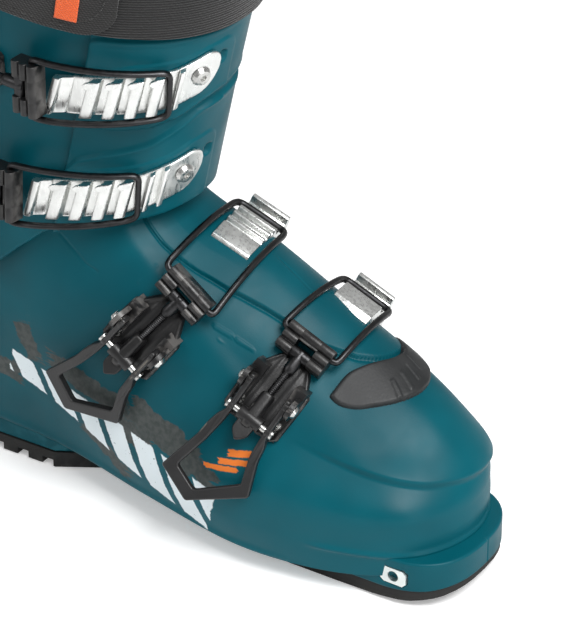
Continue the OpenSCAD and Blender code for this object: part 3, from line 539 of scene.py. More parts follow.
def build_shell():
    NU, NVO, NVI = 620, 330, 60
    u = np.arange(NU) * 14 / NU
    vo = 7 * np.linspace(0, 1, NVO) ; vi = np.linspace(.32, 7, NVI)
    U, V = np.meshgrid(u, vo); P = netpt(U, V); Nn = netn(U, V)
    d = shell_relief(U, V, P)
    rim = (7 - V) / 7 * 175  # rounded collar rim
    d = d - np.where(rim < 1.6, 1.6 - np.sqrt(np.maximum(1.6 ** 2 - (1.6 - np.clip(rim, 0, 1.6)) ** 2, 0)), 0)
    A = P + d[..., None] * Nn
    U2, V2 = np.meshgrid(u, vi); P2 = netpt(U2, V2); N2 = netn(U2, V2)
    rim2 = (7 - V2) / 7 * 175
    B = P2 - (WALL - np.where(rim2 < 1.6, 1.6 - np.sqrt(np.maximum(1.6 ** 2 - (1.6 - np.clip(rim2, 0, 1.6)) ** 2, 0)), 0))[..., None] * N2
    VV = np.concatenate([A.reshape(-1, 3), B.reshape(-1, 3)])
    o = NU * NVO; n2 = len(VV)
    cA = A[0].mean(0); cB = B[0].mean(0)
    F = gfaces(NU, NVO, 0, True, True).tolist() + gfaces(NU, NVI, o, True).tolist()
    h = NU // 2
    # bottom caps, strips between the two sides of the ring
    for off_, k in ((0, 0), (o, 1)):
        for i in range(h):
            a, b, c, e = off_ + i, off_ + i + 1, off_ + (NU - i - 1) % NU, off_ + (NU - i) % NU
            f = [x for j, x in enumerate((a, b, c, e)) if x not in (a, b, c, e)[:j]]
            if len(f) >= 3: F.append(f)
    ta, tb = (NVO - 1) * NU, o + (NVI - 1) * NU
    for i in range(NU):
        F.append([ta + i, ta + (i + 1) % NU, tb + (i + 1) % NU, tb + i])
    ob = add("shell_body", VV, F, M["shell"], "shell", "teal_shell")
    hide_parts("lower_shell")
    # toe lug
    def outline(ins):
        t = np.radians(np.linspace(-90, 90, 241)); w = 34.5
        c, s = np.clip(np.cos(t), 0, 1), np.sin(t)
        arc = np.stack([152.5 - 32 + 32 * c ** .8, w * np.sign(s) * np.abs(s) ** .8], -1)
        left = np.stack([np.linspace(54, 120.2, 166), np.interp(np.linspace(54, 120.2, 166), [54, 80, 100, 120.5], [-36, -35, -34.5, -34.5])], -1)
        C = np.concatenate([left, arc, (left * [1, -1])[::-1]])
        d = np.concatenate([[0], np.cumsum(np.linalg.norm(np.diff(C, axis=0), axis=1))]); q = np.linspace(0, d[-1], 800)
        C = np.stack([np.interp(q, d, C[:, 0]), np.interp(q, d, C[:, 1])], -1)
        T = unit(np.gradient(C, axis=0)); Nr = np.stack([T[:, 1], -T[:, 0]], -1)
        return C, Nr
    C, Nr = outline(0)
    zb = np.interp(C[:, 0], [56, 75, 100, 120, 140, 153], [9.0, 7.1, 6.7, 7.2, 8.8, 10.8])
    rows = []
    for q in np.linspace(0, 1, 46):
        z = zb + (21.9 - zb) * q; rows.append((z, np.zeros(len(C))))
    for a in np.linspace(12, 90, 6):
        rows.append((21.9 + 1.1 * math.sin(math.radians(a)) + 0 * zb, 1.1 * (1 - math.cos(math.radians(a))) + 0 * zb))
    for ins in (2.5, 5, 9, 13, 17, 21):
        rows.append((23 + 0 * zb, ins + 0 * zb))
    G3 = []
    for z, ins in rows:
        dep = ins.copy()
        ax_, az_ = np.abs(C[:, 0] - 126), np.abs(z - 14); pocket = ss(.35, 0, np.maximum(np.maximum(ax_ - 6.5, az_ - 4.1), .66 * ax_ + .75 * az_ - 6.15)) * (np.abs(C[:, 1]) > 30)
        dep = dep + 2.6 * pocket
        seam = np.exp(-((C[:, 1] - 1.2) / .45) ** 2) * (C[:, 0] > 145) * (ins < 1)
        dep = dep + .45 * seam
        G3.append(np.concatenate([C - dep[:, None] * Nr, z[:, None]], 1))
    G3 = np.array(G3); nv, nu = G3.shape[:2]
    V3 = G3.reshape(-1, 3); F3 = gfaces(nu, nv, 0, False).tolist()
    base = len(V3)
    bot = G3[0].copy(); V3 = np.concatenate([V3, bot * [1, 0, 1]])
    for i in range(nu - 1): F3.append([i, i + 1, base + i + 1, base + i])
    ob = add("shell_toe_lug", V3, F3, M["teal"], "shell", "teal_shell")
    # heel lug
    t = np.radians(np.linspace(90, 270, 121))
    arc = np.stack([-118 + 34 * np.cos(t), 34 * np.sin(t)], -1)
    lead = np.array([[-38, 19.5], [-58, 31.5]]); C2 = np.concatenate([lead, arc, (lead * [1, -1])[::-1]])
    V4, F4 = plate([tuple(p) for p in C2], (), 8.2, 29, 1.0)
    add("shell_heel_lug", V4, F4, M["teal"], "shell", "teal_shell")


def build_cover():
    poly = [(.98, 3.72), (.95, 3.6), (.78, 3.52), (.3, 3.45), (-.25, 3.39), (-.77, 3.33), (-1.3, 3.27), (-1.8, 3.28), (-2.05, 3.38), (-1.95, 3.5), (-1.2, 3.64), (-.6, 3.78), (-.06, 3.88), (.34, 3.90), (.55, 3.86)]
    poly = np.array(roundpoly(poly, .12, 3))
    u = np.linspace(-2.5, 1.4, 210); v = np.linspace(3.05, 4.12, 120)
    U, V = np.meshgrid(u, v); P = netpt(U, V); Nn = netn(U, V)
    ring = netpt(np.append(poly[:, 0], poly[0, 0]), np.append(poly[:, 1], poly[0, 1]))
    dist = polyd(P, ring).reshape(U.shape)
    x, y = U.ravel(), V.ravel(); ins = np.zeros(len(x), bool)
    for (x1, y1), (x2, y2) in zip(poly, np.roll(poly, -1, 0)):
        c = ((y1 > y) != (y2 > y)) & (x < (x2 - x1) * (y - y1) / (y2 - y1 + 1e-12) + x1); ins ^= c
    s = np.where(ins.reshape(U.shape), dist, -dist)
    e = np.clip(s / 1.7, 0, 1)
    top = np.where(s > 0, -.4 + 2.6 * np.sqrt(1 - (1 - e) ** 2), -.4 + s)
    # plain raised ribs across the middle of the cover
    a = (U + .45) * 15; b = (V - 3.58) * 30
    for q in (-8, -3, 2, 7):
        top += .45 * ss(.95, .5, np.abs(a - q + b * .5)) * ss(3.0, 2.4, np.abs(b + .9))
    A = P + (top + shell_relief(U, V, P) * .25)[..., None] * Nn
    keep = s > -1.4
    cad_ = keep[:-1, :-1] & keep[1:, :-1] & keep[:-1, 1:] & keep[1:, 1:]
    nu, nv = len(u), len(v)
    B = P - 1.6 * Nn
    FA = gfaces(nu, nv, 0, False, True)[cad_.ravel()]; o = nu * nv
    FB = gfaces(nu, nv, o, False)[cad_.ravel()]
    F = FA.tolist() + FB.tolist()
    K = np.pad(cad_, 1)
    for j in range(nv - 1):
        for i in np.flatnonzero(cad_[j]):
            for dj, di, p, q in ((-1, 0, j * nu + i, j * nu + i + 1), (1, 0, (j + 1) * nu + i, (j + 1) * nu + i + 1), (0, -1, j * nu + i, (j + 1) * nu + i), (0, 1, j * nu + i + 1, (j + 1) * nu + i + 1)):
                if not K[j + 1 + dj, i + 1 + di]: F.append([p, q, q + o, p + o])
    Vv = np.concatenate([A.reshape(-1, 3), B.reshape(-1, 3)])
    used = np.unique(np.array([x for f in F for x in f])); mp = -np.ones(len(Vv), int); mp[used] = np.arange(len(used))
    ob = add("toe_cover", Vv[used], [[mp[x] for x in f] for f in F], M["cover"], "shell", "rubber")
    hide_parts("toe_rubber_cover")


# ------------------------------------------------------------------ cuff
def zl(x):
    return np.interp(x, [-160, -140, -118, -96, -80, -66, -50, -36, -4, 4, 20], [122, 118, 108, 103, 106, 118, 133, 141, 147, 150, 155])


def zu(x):
    return np.interp(x, [-125, -100, -60, -20, 30], [292, 286, 270, 254, 250])


def under(f):
    return np.where(f > -71, 1, np.where(f < -98, 0, (f + 98) / 27))


def rcorner(dx, dy, r):
    px, py = np.maximum(r - dx, 0), np.maximum(r - dy, 0)
    return np.where((dx > r) & (dy > r), np.minimum(dx, dy), r - np.hypot(px, py))


def cuff_relief(g, z):
    """g: angle of the outer flap, -68 at its free end, 0 at the front"""
    a = rcorner(g + 71, 238 - z, 8)
    zA = np.interp(g, [-66, -55, -36, -25, -13, -4, 3, 30, 90], [194.5, 192, 193, 197, 202.5, 204.5, 205, 206, 208])
    a = rcorner(a, z - zA, 5)
    zB = np.interp(g, [-67, -64, -55, -36, -25, -13, -4, 3, 30, 90], [173, 176.4, 180.4, 185.6, 191.6, 198.0, 200, 200.4, 201, 203])
    b = rcorner(g + 69, zB - z, 6)
    pan = np.maximum(ss(-.2, 1.1, a), ss(-.2, 1.1, b))
    bead = .45 * np.maximum(np.exp(-((a - 2.0) / 1.2) ** 2), np.exp(-((b - 2.0) / 1.2) ** 2))
    tU = np.interp(g, [-60, -49, -38, -28, -15, -4, 6], [224, 226, 227, 228, 231, 232, 232])
    s1 = rcorner(rcorner(2.5 - g, tU - z, 7), z - 197, 3)
    tL = np.interp(g, [-60, -38, -25, -15, -3, 6], [172, 175.5, 178.8, 183, 184.6, 184.6])
    s2 = rcorner(2.5 - g, tL - z, 7)
    seat = np.maximum(ss(-.2, 1.1, s1), ss(-.2, 1.1, s2)) * ss(-64, -46, g)
    d = -2.4 + 1.75 * pan + bead * .6 + .75 * seat * pan
    back = ss(60, 110, g)
    d = d * (1 - back) - .6 * back * 0
    for gc, zc in ((-5.4, 222.8), (-2.7, 174.3)):
        q = np.hypot((g - gc) / 1.0, np.maximum(np.abs(z - zc) - 1.2, 0) / 1.0)
        d -= 3.2 * ss(2.2, 1.6, q) * (1 - back)
    return d


def build_cuff():
    F0, F1 = 35.0, -428.0
    L = 463 * .92
    su = ends(560, L, 1.8, 5) / L; sv = ends(200, 1.0, .012, 5)
    f = F0 + (F1 - F0) * su
    S, T = np.meshgrid(f, sv)
    X = cpt(S, 125.)[..., 0]; X2 = cpt(S, 265.)[..., 0]
    a, b = zl(cpt(f, 125.)[:, 0])[None], zu(cpt(f, 265.)[:, 0])[None]
    k = 5
    Z = a + (b - a) * T
    P = coff(S, Z, -under(S) * 4.3)
    N = cnm(S, Z)
    g = S + 360
    rel = np.where(S < -180, cuff_relief(g, Z), 0.0)
    # rounded lip along the lower edge
    dv0 = (Z - a); dv1 = (b - Z)
    rel = rel + .6 * np.exp(-((dv0 - 3.2) / 1.3) ** 2) * ss(-90, -110, S) * ss(-330, -300, S) - .5 * np.exp(-((dv0 - 6.2) / 1.4) ** 2) * ss(-90, -110, S) * ss(-330, -300, S)
    # raised ankle boss round the pivot with a shallow groove round it
    for sgn in (-1, 1):
        q = np.hypot(P[..., 0] + 84, P[..., 2] - 122); m = (np.sign(P[..., 1]) == sgn) & (under(S) < .1)
        rel = rel + np.where(m, 1.2 * ss(14.5, 13.2, q) - .5 * np.exp(-((q - 15.6) / .9) ** 2), 0)
    top = rel; bot = np.full_like(rel, -CUFF_T)
    top = np.maximum(top, bot + .8)
    dmin_u = np.minimum(su, 1 - su)[None] * L + 0 * T
    dmin_v = np.minimum(dv0, dv1)
    hole = (np.abs(S + 180) < 8.1) & (Z > 166) & (Z < 220)
    V, Fc = slab(P, N, top, bot, dmin_u, dmin_v, 1.75, False, hole)
    ob = add("cuff_body", V, Fc, M["teal"], "cuff", "teal_shell", weld=1e-4)
    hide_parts("cuff")
    # ears of the walk lever
    E = []
    R = (np.array([-139.6, 0, 176.]), np.array([1., 0, 0]), np.array([0, 1., 0]), np.array([0, 0, 1.]))
    for s in (-1, 1):
        c = [(4.2 * math.cos(t), 4.2 * math.sin(t)) for t in np.radians(np.arange(60, 301, 15))]
        pr = c + [(8, -5.5), (8, 3.5)]
        v, fc = extr(pr, s * 10.2 - 1.7, s * 10.2 + 1.7, .4)
        E.append((place(R, v), fc))
    add("cuff_lever_ears", *join(E), M["teal"], "cuff", "teal_shell")


# ------------------------------------------------------------------ ladders
def on_cuff(f0, z0, V):
    """local (degrees, mm up, height) to world"""
    return coff(f0 + V[:, 0], z0 + V[:, 1], V[:, 2])


def lcz(k, f):
    """height of the ladder centre line"""
    return np.interp(f, *(((-78, -32, -18, -8), (209.5, 214.5, 219, 223)) if k == 0 else ((-76, -37.5, -17, -8), (155.5, 162, 168.8, 172.5))))


def build_ladders():
    for k, name, fb, fe, node in ((0, "upper_ladder_plate", -33, -8.6, "upper_ladder"), (1, "lower_ladder_plate", -37.5, -7.4, "lower_ladder")):
        parts = []
        # base plate with a round end
        x = np.concatenate([np.linspace(-70.5, fe - 9.4, 110), fe - 9.4 + 9.4 * np.sin(np.linspace(0, math.pi / 2, 22)[1:])])
        hw = np.where(x > fe - 9.4, np.sqrt(np.maximum(9.4 ** 2 - np.clip(x - fe + 9.4, 0, 9.4) ** 2, 0)), 9.4)
        hw = np.maximum(hw, .3)
        w = np.sin(np.linspace(-math.pi / 2, math.pi / 2, 15))
        Xg = np.broadcast_to(x, (15, len(x))); Zg = lcz(k, x)[None] + w[:, None] * hw[None]
        P = cpt(Xg, Zg); N = cnm(Xg, Zg)
        dv = (1 - np.abs(w))[:, None] * hw[None]; du = np.minimum(x - x[0], x[-1] - x)[None] + 0 * Zg
        v, fc = slab(P, N, np.full(Zg.shape, 2.15), np.full(Zg.shape, .3), du, dv, .35)
        parts.append((v, fc))
        # serpentine teeth of bent strip, each with a small nib at its upper end
        def bent(pr, hh):
            v, fc = extr(roundpoly(pr, .5, 2), -hh, hh, .28)
            return coff(v[:, 0] + .045 * v[:, 1], lcz(k, v[:, 0]) + v[:, 1], v[:, 2]), fc
        def tooth(f, wd, ht, hook=1.0, hh=9.2):
            return bent([(f - wd / 2, 1.6), (f - wd / 2, ht - 2.4), (f - wd / 2 - hook, ht - 1.3), (f - wd / 2 - hook, ht - .1), (f - wd / 2 + .3, ht + .1), (f + wd / 2 - .9, ht), (f + wd / 2, ht - .8), (f + wd / 2 - .3, 3.4), (f + wd / 2 + .8, 2.0), (f + wd / 2 + .8, 1.6)], hh)
        for i in range(4):
            f0 = fb - 5.0 - 8 * i
            parts.append(tooth(f0, 3.6, 5.75))
            nib = roundpoly([(f0 - 2.6, 5.4), (f0 - 4.2, 7.6), (f0 - 3.2, 8.9), (f0 - .4, 9.1), (f0 + .8, 7.6), (f0 - .6, 6.2)], .5, 2)
            v, fc = plate(nib, (), 4.6, 5.9, .25)
            parts.append((coff(v[:, 0], lcz(k, v[:, 0]) + v[:, 1], v[:, 2]), fc))
        parts.append(tooth(fb + 4.4, 2.0, 4.7, .5))
        if k: parts.append(tooth(fb + 10.4, 2.0, 4.7, .5))
        parts.append(bent([(-77.6, 1.3), (-77.6, 4.0), (-76.6, 5.2), (-74.8, 5.2), (-74.2, 3.4), (-70.4, 2.15), (-70.0, .5), (-72, .5)], 9.2))
        ob = add(name, *join(parts), M["alu"], "cuff", "alu", weld=None)
        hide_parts(node)


# ------------------------------------------------------------------ catches on the instep flap
def build_catches():
    U, V = np.meshgrid(np.linspace(-4, 4, 400), np.linspace(2.5, 7, 400)); S = netpt(U, V).reshape(-1, 3)
    for k, name, node, prof in ((2, "instep_catch_steps", "instep_catch", [(-30.8, 3.6), (-29.6, 4.7), (-20.8, 5.5), (-19.8, 5.0), (-19.3, 3.7), (-17.9, 3.6), (-17.2, 5.5), (-15.4, 5.4), (-14.7, 3.1), (-12.9, 2.8), (-12.1, 5.0), (-10.2, 4.8), (-9.5, 2.2), (-7.7, 1.9), (-6.9, 4.0), (-4.7, 3.7), (-3.9, 1.0), (-2.8, -1.8), (5.9, -2.4), (6.4, .9), (8.2, 1.3), (9.4, .2), (9.9, -6.0)]),
                                (3, "toe_catch_steps", "toe_catch", [(-17.2, .9), (-15.0, 1.7), (-14.0, 2.6), (-5.4, 3.3), (-4.2, 2.8), (-3.5, .4), (-2.7, -1.9), (6.0, -2.4), (6.5, 1.0), (8.2, 1.4), (9.3, .2), (9.8, -8.0)])):
        F = kfr(k, KN[k]); L = np.stack([(S - F[0]) @ F[1], (S - F[0]) @ F[2], (S - F[0]) @ F[3]], 1); L = L[L[:, 2] > -25]
        xs = np.arange(-34, 13, 1.0)
        hs = np.array([L[(abs(L[:, 0] - q) < .8) & (abs(L[:, 1]) < 1.5)][:, 2].max() if ((abs(L[:, 0] - q) < .8) & (abs(L[:, 1]) < 1.5)).any() else np.nan for q in xs])
        ok = ~np.isnan(hs); top = list(prof)
        low = [(q, float(np.interp(q, xs[ok], hs[ok])) - 3.0) for q in np.linspace(prof[-1][0], prof[0][0], 12)]
        v, fc = extr(roundpoly(top + low, .35, 2), -9.8, 9.8, .35)
        ob = add(name, place(F, v), fc, M["alu"], "shell", "alu"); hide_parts(node)


def build_trays():
    """stamped plate under each lever, lying on the plastic between the two cheeks"""
    U, V = np.meshgrid(np.linspace(.5, 5.5, 420), np.linspace(2.2, 6.5, 420)); S = netpt(U, V).reshape(-1, 3)
    A, B = np.meshgrid(np.linspace(-130, -75, 300), np.linspace(125, 240, 300)); C = cpt(A, B).reshape(-1, 3)
    for k in range(4):
        F = FR[k]; Q = S if k > 1 else C
        L = np.stack([(Q - F[0]) @ F[1], (Q - F[0]) @ F[2], (Q - F[0]) @ F[3]], 1); L = L[(L[:, 2] > -22) & (abs(L[:, 0]) < 24) & (abs(L[:, 1]) < 20)]
        gx, gy = np.linspace(-19, 15, 35), np.linspace(-15, 15, 31); X, Y = np.meshgrid(gx, gy)
        H = np.full(X.shape, np.nan)
        for j in range(X.shape[0]):
            for i in range(X.shape[1]):
                m = (abs(L[:, 0] - X[j, i]) < 1.0) & (abs(L[:, 1] - Y[j, i]) < 1.0)
                if m.any(): H[j, i] = L[m, 2].mean()
        H = np.where(np.isnan(H), np.nanmin(H), H)
        # outline narrowing towards the front
        hw = np.interp(gx, [-19, -16, -6, 5, 8, 11, 15], [11, 14.6, 14.8, 14.6, 11.5, 9.5, 6.5])
        Ys = Y / 15 * hw[None]
        J = (Ys + 15); jj = np.clip(J.astype(int), 0, 29); tt = J - jj; ii = np.arange(35)[None].repeat(31, 0)
        Hs = H[jj, ii] * (1 - tt) + H[jj + 1, ii] * tt
        P = np.stack([X, Ys, Hs], -1); P = place(F, P); N = np.broadcast_to(F[3], P.shape)
        rib = .5 * np.exp(-((np.abs(Ys) - 5.2) / .8) ** 2) + .9 * np.exp(-((np.abs(Ys) - hw[None] + .8) / .9) ** 2)
        du = np.minimum(X + 19, 15 - X); dv = (1 - abs(Y) / 15) * hw[None]
        v, fc = slab(P, N, 2.3 + rib, np.full(X.shape, -.6), du, dv, .5)
        add("b%d_base_tray" % (k + 1), v, fc, M["black"], "shell" if k > 1 else "cuff", "black_plastic")


# ------------------------------------------------------------------ buckles
BW = [[14.5, 11.5], [14.5, 11.5], [15, 13.2], [14.5, 12.8]]
BH = [0, 0, 7, 6]


def bail_mid(k, s):
    if k == 0: return coff(-81.5 + 48.5 * s, 213 + 1.3 * s, 8.2 - 3.9 * s)
    if k == 1: return coff(-82 + 44.5 * s, 157.5 + 4.5 * s, 8.2 - 3.9 * s)
    return TP[k] + s * (KW[k] - TP[k]) + 4 * BH[k] * s * (1 - s) * unit(RF[k][3] + KN[k])


def bail_n(k, s):
    if k == 0: return cnm(-81.5 + 48.5 * s, 213.5)
    if k == 1: return cnm(-82 + 44.5 * s, 159.5)
    return unit((1 - s) * RF[k][3] + s * KN[k] + .6 * (1 - abs(2 * s - 1)) * unit(RF[k][3] + KN[k]))


def build_bail(k):
    y0 = RF[k][2]
    def by(s):
        n = bail_n(k, s); return unit(y0 - (y0 @ n) * n)
    def c(s):
        return TP[k] if s <= 0 else TP[k] + (bail_mid(k, .1) - TP[k]) * s / .1 if s < .1 else bail_mid(k, s)
    SS = [.03, .12, .24, .36, .48, .6, .72, .84, .95]
    W = lambda s: BW[k][0] + (BW[k][1] - BW[k][0]) * s
    P, Nn = [], []
    for y in (-1, -.5, 0, .5, 1):
        P.append(TP[k] + y * (BW[k][0] - 1.4) * RF[k][2]); Nn.append(RF[k][3])
    for s in SS: P.append(c(s) + W(s) * by(s)); Nn.append(bail_n(k, s))
    for y in (1, .5, 0, -.5, -1): P.append(bail_mid(k, 1) + y * (BW[k][1] - 1.6) * by(1)); Nn.append(bail_n(k, 1))
    for s in SS[::-1]: P.append(c(s) - W(s) * by(s)); Nn.append(bail_n(k, s))
    P = chaikin(np.array(P), 3); Nn = unit(chaikin(np.array(Nn), 3))
    if k < 2:
        V, F = tube(P, 1.75, Nn, 14, True, .74)
    else:
        V, F = tube(P, 1.6, Nn, 14, True, .96)
    ob = add("b%d_bail_wire" % (k + 1), V, F, M["dark_steel"], "b%d_bail" % (k + 1), "steel")
    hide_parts("b%d_bail" % (k + 1))


def build_buckle(k):
    n = k + 1; F, R, L = FR[k], RF[k], RL[k]
    mir = lambda a: a + [(x, -y) for x, y in a[::-1]]
    # lever: fork with two arms and an open pentagon loop
    fork = roundpoly([(3.3, 10.9), (-1.5, 11.3), (-9, 11.1), (-16.6, 11.1), (-20.5, 13.0), (-26, 14.2), (-33, 14.8), (-54.6, 20.3), (-61.4, 2.6), (-42.6, -19.4), (-27, -13.8), (-20.5, -12.8), (-16.6, -11.1), (-9, -11.1), (-1.5, -11.3), (3.3, -10.9),
                      (3.3, -8.3), (-14, -8.4), (-22, -8.9), (-27, -9.4), (-39.6, -13.4), (-55.0, 2.4), (-50.4, 14.4), (-33, 10.4), (-22, 8.9), (-14, 8.4), (3.3, 8.3)], 1.3, 4)
    v, fc = plate(fork, [], -1.5, 2.4, .75, 3)
    # the arms stand up round the pins, the loop bends a little towards the boot
    v = v.copy(); arm = ss(-21, -15, v[:, 0]); v[:, 2] = np.where(arm > 0, (v[:, 2] - .4) * (1 + .35 * arm) + .4 - .1 * arm, v[:, 2])
    v[:, 2] += -.8 * ss(-34, -60, v[:, 0]) + .7 * np.exp(-((v[:, 0] + 27) / 7) ** 2)
    # the two cuff levers curve round the leg
    if k < 2: v[:, 2] -= .0052 * np.clip(-18 - v[:, 0], 0, 60) ** 2
    parts = [(place(F, v), fc)]
    for s in (-1, 1):
        for cx, r in ((0, 3.3), (QX, 2.9)):
            pr = [(cx + r * math.cos(t), .3 * (cx != 0) + r * math.sin(t)) for t in np.linspace(0, 2 * math.pi, 28, endpoint=False)]
            v, fc = extr(pr, s * 9.95 - 1.1, s * 9.95 + 1.1, .3); parts.append((place(F, v), fc))
    ob = add("b%d_lever_frame" % n, *join(parts), M["lever"], "b%d_lever" % n, "black_plastic"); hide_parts("b%d_lever" % n)
    # clevis barrel with a flat spade end
    barrel = lathe([(-4.2, 1.6), (-4.0, 2.6), (-2, 3.15), (3, 3.3), (12, 3.3), (13.2, 3.0), (13.5, 2.5), (13.6, 2.15)], 30)
    bv = barrel[0].copy(); bv[:, 1] *= 1.0; bv[:, 2] = np.clip(bv[:, 2], -2.9, 2.9)
    spade = plate(roundpoly([(-2, 4.2), (-7.5, 4.0), (-11.5, 0), (-7.5, -4.0), (-2, -4.2), (4, -3.2), (4, 3.2)], 1.4, 3), (), -1.6, 1.6, .6)
    q = np.linspace(0, 2 * math.pi, 28, endpoint=False)
    eye = extr([(3.3 * math.cos(t), 3.3 * math.sin(t)) for t in q], -5.9, 5.9, .4)
    ob = add("b%d_clevis_barrel" % n, *join([(place(R, bv), barrel[1]), (place(R, spade[0]), spade[1]), (place(R, eye[0]), eye[1])]), M["black"], "b%d_clevis" % n, "black_plastic")
    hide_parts("b%d_clevis" % n)
    # threaded rod with a thick T end
    xs = np.arange(5, L - 15.5, .22); th = np.linspace(0, 2 * math.pi, 18, endpoint=False)
    rr = 1.72 + .22 * np.cos(2 * math.pi * xs[:, None] / .9 - th[None])
    V = np.stack([xs[:, None] + 0 * rr, rr * np.cos(th), rr * np.sin(th)], -1).reshape(-1, 3)
    Fc = gfaces(18, len(xs), 0, True).tolist() + [list(range(18)), [(len(xs) - 1) * 18 + j for j in range(18)][::-1]]
    knob = lathe([(L - 16.6, 1.7), (L - 15.6, 2.3), (L - 14.4, 2.85), (L - 13, 2.9), (L - 5.2, 2.9), (L - 4.4, 2.5), (L - 4.2, 1.6)], 26)
    tee = extr([(L - 6.5 + 2.85 * math.cos(t), 2.85 * math.sin(t)) for t in q], -5, 5, .3)
    ob = add("b%d_threaded_rod" % n, *join([(place(R, V), Fc), (place(R, knob[0]), knob[1]), (place(R, tee[0]), tee[1])]), M["dark_steel"], "b%d_rod" % n, "steel")
    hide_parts("b%d_rod" % n)
    # ribbed cross block
    x0 = L - 2.6
    def ridge(cx, r, zt, m=9):
        return [(cx + r * math.cos(t), zt - r + r * math.sin(t)) for t in np.linspace(math.pi * .92, math.pi * .08, m)]
    full = [(x0 - 6.8, -3.9)] + ridge(x0 - 4.4, 2.2, 3.9) + [(x0 - 2.1, 2.2)] + ridge(x0 + .2, 2.0, 4.4) + [(x0 + 2.1, 2.6)] + ridge(x0 + 4.5, 2.3, 4.5) + [(x0 + 6.8, -3.6), (x0 + 5.6, -4.3), (x0 - 6, -4.3)]
    cen = [(x0 + 1.4, -4.2), (x0 + 1.4, 3.2), (x0 + 2.1, 2.9)] + ridge(x0 + 4.5, 2.3, 4.5) + [(x0 + 6.8, -3.6), (x0 + 5.6, -4.3)]
    bw = 12.0
    parts = [extr(full, 4.6, bw, .3), extr(full, -bw, -4.6, .3), extr(cen, -5, 5, .25)]
    ob = add("b%d_cross_block" % n, *join([(place(R, v), f) for v, f in parts]), M["black"], "b%d_rod" % n, "black_plastic")
    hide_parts("b%d_block" % n)
    build_bail(k)


# ------------------------------------------------------------------ soft goods
def puffed(o, cap, voxel=.0045, pressure=4.0, frames=18):
    """inflates padding with a short cloth simulation, caps how far points move, then smooths once"""
    sc = bpy.context.scene
    bpy.context.view_layer.objects.active = o
    m = o.modifiers.new("r", "REMESH"); m.mode = "VOXEL"; m.voxel_size = voxel
    dg = bpy.context.evaluated_depsgraph_get(); me = bpy.data.meshes.new_from_object(o.evaluated_get(dg)); o.modifiers.remove(m)
    old = o.data; mats = [x for x in old.materials]; o.data = me
    if not me.materials:
        for x in mats: me.materials.append(x)
    rest = np.empty(len(me.vertices) * 3); me.vertices.foreach_get("co", rest); rest = rest.reshape(-1, 3)
    c = o.modifiers.new("c", "CLOTH"); s = c.settings
    s.use_pressure = True; s.uniform_pressure_force = pressure; s.effector_weights.gravity = 0
    s.tension_stiffness = 15; s.compression_stiffness = 15; s.bending_stiffness = 2; s.quality = 4
    c.collision_settings.use_collision = False
    for fr_ in range(1, frames + 1): sc.frame_set(fr_)
    dg = bpy.context.evaluated_depsgraph_get(); ev = o.evaluated_get(dg).to_mesh()
    co = np.empty(len(ev.vertices) * 3); ev.vertices.foreach_get("co", co); co = co.reshape(-1, 3)
    d = co - rest; ln = np.linalg.norm(d, axis=1, keepdims=True)
    co = rest + d * np.minimum(1, cap / np.maximum(ln, 1e-9)) * .9
    o.modifiers.remove(c); sc.frame_set(1)
    me.vertices.foreach_set("co", co.astype(np.float32).ravel())
    s = o.modifiers.new("s", "SUBSURF"); s.levels = s.render_levels = 1
    dg = bpy.context.evaluated_depsgraph_get(); m2 = bpy.data.meshes.new_from_object(o.evaluated_get(dg)); o.modifiers.remove(s)
    o.data = m2
    if not m2.materials:
        for x in mats: m2.materials.append(x)
    m2.polygons.foreach_set("use_smooth", [True] * len(m2.polygons)); m2.update()
    return o


def strap_z(f, w):
    """w 0..1 across the strap"""
    return 240.3 + w * 38 + 7 * (1 - np.cos(np.radians(f))) / 2


def stitches(name, pts, nrm, body, mat, length=2.4, r=.38, sl="strap_fabric"):
    parts = []
    for i in range(0, len(pts) - 1):
        t = unit(pts[i + 1] - pts[i]); c = pts[i]; nn = nrm[i]
        q = np.array([-1, -.8, -.3, .3, .8, 1]) * length / 2
        path = c + q[:, None] * t - (np.abs(q)[:, None] / (length / 2)) ** 3 * .35 * nn
        parts.append(tube(path, [r * .3, r * .8, r, r, r * .8, r * .3], np.repeat(nn[None], 6, 0), 6))
    return add(name, *join(parts), mat, body, sl)


